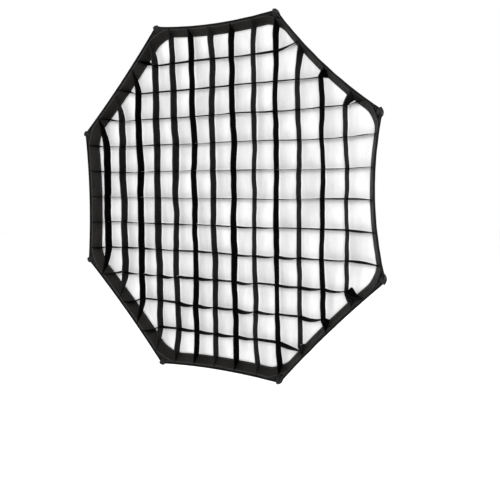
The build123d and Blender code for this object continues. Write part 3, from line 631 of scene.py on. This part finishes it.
def hem_binding(side):
    """Bias tape rolled over a side's front edge, fuller along the edge itself."""
    length = 2 * HEM_RADIUS * sin(HALF_SIDE)
    def place(u, v):
        turn = side + (v - 0.5) * 0.999
        wave = noise.noise(Vector((v * 14, side * 7.0, 0))) * 0.0009
        way = 2 * pi * u
        forward = -0.0055 + 0.0092 * cos(way)
        fullness = 0.0018 + 0.0026 * max(0.0, cos(way)) ** 0.7
        fullness *= 0.30 + 0.70 * min(1.0, (0.5 - abs(v - 0.5)) / 0.035)
        outwards = 0.0006 + fullness * sin(way)
        heading = HEM_HEADING - forward / ARC_RADIUS
        return shell_point(turn, heading, -(SHELL_CLOTH / 2 + outwards + wave))
    bm = woven(16, 120, place, (0.036, length), closed=True)
    bmesh.ops.recalc_face_normals(bm, faces=bm.faces)
    uv = bm.loops.layers.uv.active
    for face in bm.faces:
        for loop in face.loops:
            loop[uv].uv = (loop[uv].uv.y, loop[uv].uv.x)
    return piece(f"hem_binding_{side + 1}", bm, "softbox", [BINDING_CLOTH])


def lip_tape(name, side, rear, front, inset, body, finish):
    """Tape along one side of the lip, between two distances behind the hem."""
    length = 2 * (HEM_RADIUS * sin(HALF_SIDE) - TAPE_END_ROOM)
    def place(u, v):
        back = rear + (front - rear) * v
        heading = heading_at(HEM_DEPTH - back)
        radius, _ = arc_point(heading)
        share = 1 - TAPE_END_ROOM / (radius * sin(HALF_SIDE))
        ripple = noise.noise(Vector((u * 22, side * 5.0, v * 1.5))) * 0.00035
        return shell_point(side + (u - 0.5) * share, heading, inset + ripple)
    bm = woven(60, 6, place, (length, rear - front))
    face = next(iter(bm.faces))
    if face.normal.dot(face.calc_center_median() - Vector((0, -0.25, 0))) > 0:
        bmesh.ops.reverse_faces(bm, faces=bm.faces)
    made = piece(name, bm, body, [finish])
    thicken(made, TAPE)
    return made


def corner_gusset(corner):
    """Patch that covers the seam on the inside of the lip at a corner."""
    width, length = 0.046, 0.070
    def place(u, v):
        heading = heading_at(HEM_DEPTH - length * (1 - v) - 0.001)
        radius, _ = arc_point(heading)
        turn = corner + 0.5 + (u - 0.5) * width / (2 * radius * sin(HALF_SIDE))
        if abs(turn - corner - 0.5) < 1e-9:
            turn -= 1e-7
        return shell_point(turn, heading, 0.0007)
    bm = woven(14, 12, place, (width, length))
    face = next(iter(bm.faces))
    if face.normal.dot(face.calc_center_median() - Vector((0, -0.25, 0))) > 0:
        bmesh.ops.reverse_faces(bm, faces=bm.faces)
    made = piece(f"corner_gusset_{corner + 1}", bm, "softbox", [WEBBING_CLOTH])
    thicken(made, 0.0005)
    return made


def pocket_path(share):
    """(along, aside) on the folded webbing. along is past the rod's end, aside is towards the shell."""
    shell_side = ROD_OFFSET + SHELL_CLOTH / cos(HALF_SIDE) + 0.0018
    rod_side = -CAP_RADIUS - 0.0012
    front = 0.0050
    half_gap = (shell_side - rod_side) / 2
    bend = pi * half_gap * 0.6
    first, last = 0.042, 0.026
    total = first + bend + last
    at = share * total
    if at < first:
        return front - (first - at), shell_side
    if at < first + bend:
        way = (at - first) / bend * pi
        return front + half_gap * 0.55 * sin(way), rod_side + half_gap + half_gap * cos(way)
    return front - (at - first - bend), rod_side


def corner_frame(corner):
    """Rod's end at a corner, with the ways along the rod, towards the shell and across."""
    radius, depth = arc_point(HEM_HEADING, ROD_OFFSET)
    angle = 2 * HALF_SIDE * (corner + 0.5)
    outwards = Vector((cos(angle), 0, sin(angle)))
    end = flexed(outwards * radius + Vector((0, -depth, 0)))
    along = outwards * sin(HEM_HEADING) + Vector((0, -cos(HEM_HEADING), 0))
    to_shell = outwards * cos(HEM_HEADING) + Vector((0, sin(HEM_HEADING), 0))
    return end, along, to_shell, Vector((-sin(angle), 0, cos(angle)))


def corner_pocket(corner):
    """Webbing folded over the hem at a corner, pinched together on each side of the rod's end."""
    end, along, to_shell, across = corner_frame(corner)
    shell_side = pocket_path(0.0)[1]
    def place(u, v):
        ahead, aside = pocket_path(v)
        side = 2 * u - 1
        nose = max(0.0, min(1.0, (ahead + 0.012) / 0.018))
        aside += (shell_side - POCKET_WEBBING - aside) * abs(side) ** 3 * 0.92
        ahead -= 0.0055 * nose * side * side
        wide = side * POCKET_WIDTH / 2 * (1 - 0.22 * nose)
        crease = noise.noise(Vector((u * 3, v * 7, corner * 3.0))) * 0.0006
        return end + along * ahead + to_shell * (aside + crease) + across * wide
    bm = woven(18, 60, place, (POCKET_WIDTH, 0.085))
    uv = bm.loops.layers.uv.active
    for face in bm.faces:
        for loop in face.loops:
            loop[uv].uv = (loop[uv].uv.y, loop[uv].uv.x)
    bmesh.ops.recalc_face_normals(bm, faces=bm.faces)
    made = piece(f"pocket_webbing_{corner + 1}", bm, "softbox", [WEBBING_CLOTH],
                 [f"corner_pocket_{corner + 1}"])
    thicken(made, POCKET_WEBBING, offset=0.0)
    return made


def tube(path, radii, sides):
    """Round tube along a path, with a radius at each of its points."""
    ways = [(path[min(k + 1, len(path) - 1)] - path[max(k - 1, 0)]).normalized() for k in range(len(path))]
    beside = ways[0].cross(Vector((0, 1, 0))).normalized()
    def place(u, v):
        k = round(v * (len(path) - 1))
        turn = 2 * pi * u
        other = ways[k].cross(beside).normalized()
        return path[k] + (beside * cos(turn) + other * sin(turn)) * radii[k]
    bm = woven(sides, len(path) - 1, place, (1, 1), closed=True)
    bmesh.ops.holes_fill(bm, edges=[e for e in bm.edges if e.is_boundary], sides=sides)
    bmesh.ops.recalc_face_normals(bm, faces=bm.faces)
    return bm


def rod_place(corner, heading):
    """Point on a rod's centre line."""
    radius, depth = arc_point(heading, ROD_OFFSET)
    angle = 2 * HALF_SIDE * (corner + 0.5)
    return flexed(Vector((radius * cos(angle), -depth, radius * sin(angle))))


def rod(corner):
    """Sprung rod from its socket to its cap."""
    path = [rod_place(corner, RING_HEADING + (HEM_HEADING - RING_HEADING) * k / 96) for k in range(96)]
    back = (path[0] - path[1]).normalized()
    path = [path[0] + back * 0.034] + path
    bm = tube(path, [0.003] * len(path), 20)
    piece(f"rod_wire_{corner + 1}", bm, "softbox", [ROD_STEEL], [f"rod_{corner + 1}"])


def rod_cap(corner):
    """Rubber cap on a rod's end, with two grip rings and a domed nose."""
    end, along, _, _ = corner_frame(corner)
    stations = [k / 40 for k in range(41)]
    path = [end + along * (-0.014 + 0.018 * at) for at in stations]
    radii = []
    for at in stations:
        nose = max(0.0, (at - 0.80) / 0.20)
        ring = 0.0004 * (cos(2 * pi * at * 5) if at < 0.6 else 0.0)
        radii.append((CAP_RADIUS - 0.0003 + ring) * sqrt(max(0.04, 1 - nose * nose)))
    bm = tube(path, radii, 28)
    piece(f"rod_rubber_{corner + 1}", bm, "softbox", [CAP_RUBBER],
          [f"rod_tip_cap_{corner + 1}"])


# ---------------------------------------------------------------- sheets
def spread_sheet(name, body, depth, edge, crease, rings, finish, node):
    """Eight-sided white sheet. edge(turn, depth) gives its outline, crease(point) its folds."""
    columns = SIDES * 40
    def place(u, v):
        share = v ** 0.8
        rim = edge((u * SIDES) % SIDES, depth)
        point = Vector((rim.x * share, rim.y, rim.z * share))
        point.y += crease(point) * (1 - share ** 6)
        return point
    bm = woven(columns, rings, place, (1.0, 1.0))
    uv = bm.loops.layers.uv.active
    for face in bm.faces:
        for loop in face.loops:
            loop[uv].uv = (loop.vert.co.x, loop.vert.co.z)
    bmesh.ops.remove_doubles(bm, verts=bm.verts, dist=1e-6)
    bmesh.ops.recalc_face_normals(bm, faces=bm.faces)
    if sum(f.normal.y * f.calc_area() for f in bm.faces) > 0:
        bmesh.ops.reverse_faces(bm, faces=bm.faces)
    made = piece(name, bm, body, [finish], [node])
    thicken(made, 0.0004)
    return made


def diffuser_edge(turn, depth):
    """The front diffuser's outline follows the lip's hook tape."""
    return lining_point(turn, depth, HOOK_INSET + 0.0008)


def diffuser_crease(point):
    """Soft upright folds and a few creases from storage."""
    x, z = point.x, point.z
    folds = noise.noise(Vector((x * 14, z * 2.2, 3.0))) * 0.0045
    folds += noise.noise(Vector((x * 33, z * 4.0, 9.0))) * 0.0018
    lean = noise.noise(Vector((x * 5 + z * 6, z * 3, 21.0))) * 0.0030
    return max(0.0, folds + lean + 0.0020)


def baffle_edge(turn, depth):
    """The baffle's sides pull in between its corners."""
    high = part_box("inner_baffle")[1]
    side = round(turn)
    across = 2 * (turn - side)
    half = high.z * tan(HALF_SIDE)
    out = high.x - 2 * REAR_SAG * half * (1 - across * across)
    return turned(out, depth, across * half, side)


def baffle_crease(point):
    return noise.noise(Vector((point.x * 9, point.z * 3.0, 40.0))) * 0.0035


KNOB_BODY = {1: "lock_screw_1", 2: "lock_screw_2"}
BAFFLE_FRONT = -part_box("inner_baffle")[0].y
BAFFLE_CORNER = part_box("inner_baffle")[1].x / cos(HALF_SIDE)


def baffle_hem():
    """Folded hem sewn round the baffle's edge."""
    width = 0.012
    def place(u, v):
        turn = (u * SIDES) % SIDES
        rim = baffle_edge(turn, BAFFLE_FRONT)
        share = 1.002 - width * v / hypot(rim.x, rim.z)
        pucker = noise.noise(Vector((u * 300, v * 2, 7.0))) * 0.0004
        return Vector((rim.x * share, rim.y - 0.0007 + pucker * v, rim.z * share))
    around = 2 * SIDES * BAFFLE_CORNER * sin(HALF_SIDE)
    bm = woven(SIDES * 60, 4, place, (around, width), closed=True)
    if sum(f.normal.y * f.calc_area() for f in bm.faces) > 0:
        bmesh.ops.reverse_faces(bm, faces=bm.faces)
    made = piece("baffle_hem", bm, "baffle", [HEM_CLOTH])
    thicken(made, 0.0006)


def baffle_strap(corner):
    """Elastic strap from a corner of the baffle to the clip on its rod."""
    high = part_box("baffle_straps")[1]
    start, end = BAFFLE_CORNER - 0.014, high.x / cos(HALF_SIDE)
    angle = 2 * HALF_SIDE * (corner + 0.5)
    way = Vector((cos(angle), 0, sin(angle)))
    across = Vector((-sin(angle), 0, cos(angle)))
    length = end - start
    def place(u, v):
        along = start + length * v
        past = max(0.0, min(1.0, (v * length - length + 0.020) / 0.006))
        waist = 1 - 0.06 * sin(pi * v)
        wide = (0.010 - 0.0052 * past * past * (3 - 2 * past)) * waist
        gather = noise.noise(Vector((v * 70, corner * 3.0, u * 2))) * 0.0003
        return way * along + across * (2 * u - 1) * wide + Vector((0, high.y - 0.0002 + gather, 0))
    bm = woven(10, 60, place, (0.020, length))
    if sum(f.normal.y * f.calc_area() for f in bm.faces) > 0:
        bmesh.ops.reverse_faces(bm, faces=bm.faces)
    uv = bm.loops.layers.uv.active
    for face in bm.faces:
        for loop in face.loops:
            loop[uv].uv = (loop[uv].uv.x, loop[uv].uv.y)
    made = piece(f"elastic_strap_{corner + 1}", bm, "baffle", [ELASTIC_CLOTH],
                 ["baffle_straps"] if corner == 0 else ())
    thicken(made, 0.0014, offset=1.0)


def rear_cuff():
    """Gathered cuff between the shell and the ring, open at the two lock screws."""
    low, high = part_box("rear_skirt")
    front, rear, apothem = -low.y, -high.y, high.x - 0.0015
    stud_low, stud_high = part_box("lock_stud_1")
    slot, slot_front = stud_high.z + 0.0010, -stud_low.y + 0.0010
    def place(u, v):
        turn = (u * SIDES) % SIDES
        side = round(turn)
        across = 2 * (turn - side)
        half = apothem * tan(HALF_SIDE)
        ripple = 0.0007 * sin(turn * 2 * pi * 5 + noise.noise(Vector((turn * 3, 1, 1))) * 3) * (1 - v) ** 0.5
        casing = 0.0012 * max(0.0, sin(pi * min(1.0, v / 0.45)))
        depth = rear + (front - rear) * v
        return turned(apothem + 0.0004 + casing + abs(ripple), depth, across * half, side)
    bm = woven(SIDES * 48, 16, place, (2 * SIDES * apothem * tan(HALF_SIDE), front - rear), closed=True)
    middles = {face: face.calc_center_median() for face in bm.faces}
    cut = [face for face, at in middles.items() if abs(at.z) < slot and -at.y < slot_front]
    bmesh.ops.delete(bm, geom=cut, context="FACES")
    bmesh.ops.recalc_face_normals(bm, faces=bm.faces)
    if sum(f.normal.dot(f.calc_center_median()) for f in bm.faces) < 0:
        bmesh.ops.reverse_faces(bm, faces=bm.faces)
    made = piece("rear_cuff", bm, "softbox", [CUFF_CLOTH], ["rear_skirt"])
    thicken(made, 0.0012)


def lock_knob(number):
    """Eight-lobed moulded knob with rounded lobes, a flat end face with a rounded edge and a moulding ring.
    """
    low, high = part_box(f"lock_knob_{number}")
    start, end = (low.x, high.x) if number == 1 else (high.x, low.x)
    middle = -(low.y + high.y) / 2
    full = (high.z - low.z) / 2
    collar = [(0.0, 0.36), (0.0, 0.66), (0.02, 0.69), (0.13, 0.69), (0.15, 0.70)]
    grip = [(0.155, 0.90), (0.19, 0.96), (0.25, 1.0), (0.55, 1.0), (0.85, 1.0), (0.93, 0.97), (0.98, 0.91)]
    face = [(1.0, 0.80), (1.0, 0.62), (0.985, 0.60), (0.985, 0.50), (1.0, 0.48), (1.0, 0.0)]
    outline = collar + grip + face
    def place(u, v):
        along, radius = outline[round(v * (len(outline) - 1))]
        lobe = 0.5 + 0.5 * cos(2 * pi * u * 8)
        dent = (1 - lobe) ** 1.6 * 0.17 * max(0.0, min(1.0, (radius - 0.70) / 0.2))
        if along < 0.152:
            dent = 0.0
        at = full * radius * (1 - dent)
        return Vector((start + (end - start) * along, -middle + at * cos(2 * pi * u), at * sin(2 * pi * u)))
    bm = woven(96, len(outline) - 1, place, (1, 1), closed=True)
    bmesh.ops.recalc_face_normals(bm, faces=bm.faces)
    made = piece(f"fluted_knob_{number}", bm, KNOB_BODY[number], [KNOB_PLASTIC],
                 [f"lock_knob_{number}"])
    return made


# ---------------------------------------------------------------- grid
upright_low, upright_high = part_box("grid_upright_strips")
level_low, level_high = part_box("grid_level_strips")
UPRIGHTS, LEVELS = 13, 11
BUNCHED_LEVEL = 2  # this level strip's right end is twisted into a bunch
PAINTED_LIT_UPRIGHTS = (1, 3, 4, 6, 8, 10, 12)  # painted light: these uprights get a lighter grey copy of the black strip cloth, standing in for strips turned to catch more light; the others are plain black
STRIP_CLOTH_THICKNESS = 0.0010
GRID_FRONT, GRID_REAR = -upright_low.y, -upright_high.y
GRID_DEPTH = GRID_FRONT - GRID_REAR
BORDER_REAR = HEM_DEPTH - GRID_REAR + 0.001
HOOK_REAR = HEM_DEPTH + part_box("diffuser_hook_tape")[1].y


def strip_places(low, high, count):
    """Places of evenly spaced strips whose outer faces are at low and high."""
    first, last = low + STRIP_CLOTH_THICKNESS / 2, high - STRIP_CLOTH_THICKNESS / 2
    return [first + (last - first) * k / (count - 1) for k in range(count)]


UPRIGHT_PLACES = strip_places(upright_low.x, upright_high.x, UPRIGHTS)
LEVEL_PLACES = strip_places(level_low.z, level_high.z, LEVELS)
FAN = 0.045  # strips lean outwards over their last cell by this share of their distance from the middle
BORDER_INSET = HOOK_INSET + 0.0004
TURNS = [k * SIDES / 1600 for k in range(1600)]
OUTLINES = {depth: [(t, lining_point(t, depth, BORDER_INSET)) for t in TURNS]
            for depth in (GRID_REAR, GRID_FRONT)}


def lining_crossing(depth, place, upright, positive):
    """(turn, distance) where a strip's line meets the lining on one side."""
    outline = OUTLINES[depth]
    found = []
    for (turn, a), (_, b) in zip(outline, outline[1:] + outline[:1]):
        a0, a1, b0, b1 = (a.x, a.z, b.x, b.z) if upright else (a.z, a.x, b.z, b.x)
        if (a0 - place) * (b0 - place) <= 0 and a0 != b0:
            found.append((turn, a1 + (b1 - a1) * (place - a0) / (b0 - a0)))
    return max(found, key=lambda f: f[1] if positive else -f[1])


def kink(places, at, seed, size):
    """Sideways offset that changes direction at each crossing."""
    cell = (at - places[0]) / (places[1] - places[0])
    share = cell - floor(cell)
    ends = [noise.noise(Vector(((floor(cell) + step) * 2.7 + 0.4, seed, 17.0))) for step in (0, 1)]
    return size * (ends[0] * (1 - share) + ends[1] * share)


def upright_sway(index, z):
    """How far an upright strip wanders sideways, at its rear and front edges."""
    seed = index * 9.1
    wander = noise.noise(Vector((seed, z * 7.0, 0))) * 0.0045
    wander += noise.noise(Vector((seed, z * 19.0, 4))) * 0.0030
    wander += kink(LEVEL_PLACES, z, seed, 0.0095)
    twist = noise.noise(Vector((seed, z * 4.0, 8))) * 0.0060 + noise.noise(Vector((seed, 0, 12))) * 0.0050
    twist -= 0.0050 * max(0.0, 1 - index / 7)
    return wander - twist / 2, wander + twist / 2


def level_sway(index, x):
    """How far a level strip droops, at its rear and front edges."""
    seed = index * 5.3 + 100
    cell = (x - UPRIGHT_PLACES[0]) / (UPRIGHT_PLACES[1] - UPRIGHT_PLACES[0])
    within = cell - floor(cell)
    slack = max(0.0, noise.noise(Vector((floor(cell) * 3.1 + 0.5, seed, 2))) + 0.25)
    low_down = max(0.0, 1 - index / 5)
    droop = -(0.0020 + 0.0110 * low_down) * slack * 4 * within * (1 - within)
    wander = noise.noise(Vector((x * 4.0, seed, 0))) * 0.0045
    twist = noise.noise(Vector((x * 5.0, seed, 6))) * 0.0050
    return droop + wander - twist / 2, droop * 1.4 + wander + twist / 2


def end_twist(index, positive):
    """How far a level strip's edges turn over between its last crossing and its end."""
    slack = noise.noise(Vector((index * 7.7, 5.0 if positive else 2.0, 33.0)))
    if positive:
        return -0.034 if index == BUNCHED_LEVEL else -0.004 - 0.010 * slack
    return -0.020 * max(0.0, 1 - index / 5) - 0.010 * slack


def crossings_of(index, upright):
    """Where the whole halves of the strips that cross one strip really run, sway included."""
    found = []
    for other, place in enumerate(LEVEL_PLACES if upright else UPRIGHT_PLACES):
        if upright:
            rear, front = level_sway(other, UPRIGHT_PLACES[index])
            found.append(place + rear * 0.75 + front * 0.25)
        else:
            rear, front = upright_sway(other, LEVEL_PLACES[index])
            found.append(place + rear * 0.25 + front * 0.75)
    return found


def strip_stations(low, high, crossings):
    """Places along a strip where its mesh has a column, dense enough to bend and split at each slot."""
    slot = 0.0008
    stops = [low] + [c for c in crossings if low + 0.012 < c < high - 0.012] + [high]
    stations, slots = [low], set()
    for a, b in zip(stops, stops[1:]):
        start = a + slot if a > low else a
        stop = b - slot if b < high else b
        steps = max(2, round((stop - start) / 0.008))
        if a > low:
            slots.add(len(stations) - 1)
            stations.append(start)
        stations += [start + (stop - start) * k / steps for k in range(1, steps + 1)]
    return stations, slots


def grid_strip(name, index, place_at, upright):
    """Strip of cloth on edge, slotted half way where the others cross it."""
    crossings = crossings_of(index, upright)
    sway = upright_sway if upright else level_sway
    ends = {}
    for positive in (False, True):
        for depth in (GRID_REAR, GRID_FRONT):
            ends[positive, depth] = lining_crossing(depth, place_at * (1 + FAN), upright, positive)[1]
    low = (ends[False, GRID_REAR] + ends[False, GRID_FRONT]) / 2
    high = (ends[True, GRID_REAR] + ends[True, GRID_FRONT]) / 2
    stations, slots = strip_stations(low, high, crossings)
    inner = [c for c in crossings if low + 0.012 < c < high - 0.012]
    first, last = (inner[0], inner[-1]) if inner else (low / 2, high / 2)
    count, rows = len(stations) - 1, 6

    def place(u, v):
        at = stations[round(u * count)]
        depth = GRID_REAR + GRID_DEPTH * v
        outer = 0.0
        if at > last:
            outer = (at - last) / (high - last)
            reach = ends[True, GRID_REAR] * (1 - v) + ends[True, GRID_FRONT] * v
            at = last + (reach - last) * outer
        elif at < first:
            outer = (first - at) / (first - low)
            reach = ends[False, GRID_REAR] * (1 - v) + ends[False, GRID_FRONT] * v
            at = first + (reach - first) * outer
        rear, front = sway(index, at)
        held = 1 - outer ** 3
        side = place_at * (1 + FAN * outer ** 1.4) + (rear * (1 - v) + front * v) * held
        if not upright:
            side += end_twist(index, at > last) * (v - 0.5) * sin(pi * outer)
        return Vector((side, -depth, at)) if upright else Vector((at, -depth, side))

    bm = woven(count, rows, lambda u, v: Vector((u, v, 0)), (1, 1))
    slotted = [f for f in bm.faces if floor(f.calc_center_median().x * count) in slots
               and (f.calc_center_median().y < 0.5) == upright]
    bmesh.ops.delete(bm, geom=slotted, context="FACES")
    uv = bm.loops.layers.uv.active
    for face in bm.faces:
        for loop in face.loops:
            u, v = loop.vert.co.x, loop.vert.co.y
            loop[uv].uv = (stations[round(u * count)] + index * 1.37, v * GRID_DEPTH)
    for vert in bm.verts:
        vert.co = place(vert.co.x, vert.co.y)
    bm.normal_update()
    # Some uprights get the lighter grey copy of the strip cloth: painted light.
    painted_lit = upright and index in PAINTED_LIT_UPRIGHTS
    made = piece(name, bm, "grid", [STRIP_PAINTED_LIT if painted_lit else STRIP_BLACK])
    thicken(made, STRIP_CLOTH_THICKNESS, offset=0.0)
    return made


def grid_border():
    """Tape that the strips are sewn to, one loop round the lip."""
    front, rear = 0.003, BORDER_REAR
    length = 2 * SIDES * HEM_RADIUS * sin(HALF_SIDE)
    def place(u, v):
        turn = (u * SIDES) % SIDES
        back = rear + (front - rear) * v
        pull = max(0.0, noise.noise(Vector((u * 90, v * 1.4, 31.0)))) * 0.0030
        return lining_point(turn, HEM_DEPTH - back, HOOK_INSET + pull)
    bm = woven(SIDES * 90, 8, place, (length, rear - front), closed=True)
    centre = Vector((0, -0.3, 0))
    if sum(f.normal.dot(f.calc_center_median() - centre) for f in bm.faces) > 0:
        bmesh.ops.reverse_faces(bm, faces=bm.faces)
    made = piece("grid_border", bm, "grid", [BORDER_CLOTH], ["grid_border_tape"])
    thicken(made, TAPE)
    return made


# ---------------------------------------------------------------- camera, light and floor
def camera():
    """Camera in front, to the right of the axis and near its height."""
    azimuth, elevation, roll = radians(32.291), radians(3.503), radians(-0.713)
    data = bpy.data.cameras.new("camera")
    data.sensor_width = 36.0
    data.lens = 681.7 * 36.0 / 500
    data.shift_x, data.shift_y = 0.0079, -0.072
    data.clip_end = 100.0
    view = bpy.data.objects.new("camera", data)
    view.location = (1.530, -2.7277, 0.096)
    forward = Vector((-sin(azimuth) * cos(elevation), cos(azimuth) * cos(elevation), -sin(elevation)))
    level = forward.to_track_quat("-Z", "Y").to_matrix().to_4x4()
    view.rotation_euler = (level @ Matrix.Rotation(roll, 4, "Z")).to_euler()
    bpy.context.collection.objects.link(view)
    bpy.context.scene.camera = view


def area_light(name, place, aim, size, power):
    data = bpy.data.lights.new(name, "AREA")
    data.shape = "SQUARE"
    data.size = size
    data.energy = power
    lamp = bpy.data.objects.new(name, data)
    lamp.location = place
    lamp.rotation_euler = (Vector(aim) - Vector(place)).to_track_quat("-Z", "Y").to_euler()
    bpy.context.collection.objects.link(lamp)


def studio():
    """White surroundings, two broad soft lights and a pale floor."""
    world = bpy.data.worlds.new("studio")
    world.use_nodes = True
    world.node_tree.nodes["Background"].inputs["Color"].default_value = (1, 1, 1, 1)
    world.node_tree.nodes["Background"].inputs["Strength"].default_value = 1.0
    bpy.context.scene.world = world
    bpy.context.scene.view_settings.view_transform = "Standard"
    area_light("key", (2.3, -4.4, 1.0), (0, -0.4, 0), 1.6, 165)
    area_light("fill", (-3.6, -3.6, 1.2), (0, -0.4, 0), 2.6, 70)
    area_light("back", (1.5, 4.2, 2.8), (0, -0.2, 0), 2.2, 120)
    bm = bmesh.new()
    bmesh.ops.create_circle(bm, cap_ends=True, segments=96, radius=14.0)
    bmesh.ops.translate(bm, verts=bm.verts, vec=(0, 0, CAD_BOX[0][2] - 0.55))
    mesh = bpy.data.meshes.new("floor")
    bm.to_mesh(mesh)
    bm.free()
    floor_disc = bpy.data.objects.new("floor", mesh)
    bpy.context.collection.objects.link(floor_disc)
    made, _, shader = finish_of("pale_floor", Roughness=0.85)
    shader.inputs["Base Color"].default_value = (0.99, 0.99, 0.99, 1)
    mesh.materials.append(made)


# ---------------------------------------------------------------- build
for side in range(SIDES):
    shell_panel(side)
    hem_binding(side)
    seam_binding(side)
    corner_gusset(side)
    corner_pocket(side)
    rod(side)
    rod_cap(side)
    loop = lip_tape(f"lip_loop_{side + 1}", side, HOOK_REAR + 0.002, 0.002, LOOP_INSET, "softbox",
                    LOOP_CLOTH)
    hook = lip_tape(f"diffuser_hook_{side + 1}", side, HOOK_REAR, BORDER_REAR + 0.0005, HOOK_INSET,
                    "diffuser", HOOK_CLOTH)
    if side == 0:
        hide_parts("lip_loop_tape")
        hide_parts("diffuser_hook_tape")

spread_sheet("diffuser_sheet", "diffuser", -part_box("front_diffuser")[0].y, diffuser_edge, diffuser_crease,
             56, WHITE_NYLON, "front_diffuser")
spread_sheet("baffle_sheet", "baffle", -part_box("inner_baffle")[0].y, baffle_edge, baffle_crease,
             40, BAFFLE_NYLON, "inner_baffle")

baffle_hem()
for corner in range(SIDES):
    baffle_strap(corner)
rear_cuff()
for number in KNOB_BODY:
    lock_knob(number)

grid_border()
for index, x in enumerate(UPRIGHT_PLACES):
    strip = grid_strip(f"grid_upright_{index + 1}", index, x, True)
    if index == 0:
        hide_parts("grid_upright_strips")
for index, z in enumerate(LEVEL_PLACES):
    strip = grid_strip(f"grid_level_{index + 1}", index, z, False)
    if index == 0:
        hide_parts("grid_level_strips")

KEPT = {
    "bayonet_adapter": CAST_METAL, "rod_ring": RING_PAINT, "retaining_ring": RING_PAINT,
    "retaining_screws": ZINC, "lock_pad_1": BRASS, "lock_pad_2": BRASS, "lock_stud_1": ZINC,
    "lock_stud_2": ZINC,
    "rod_ferrules": ZINC, "baffle_clips": KNOB_PLASTIC,
}
for node, finish in KEPT.items():
    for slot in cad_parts[node].material_slots:
        slot.material = finish

camera()
studio()
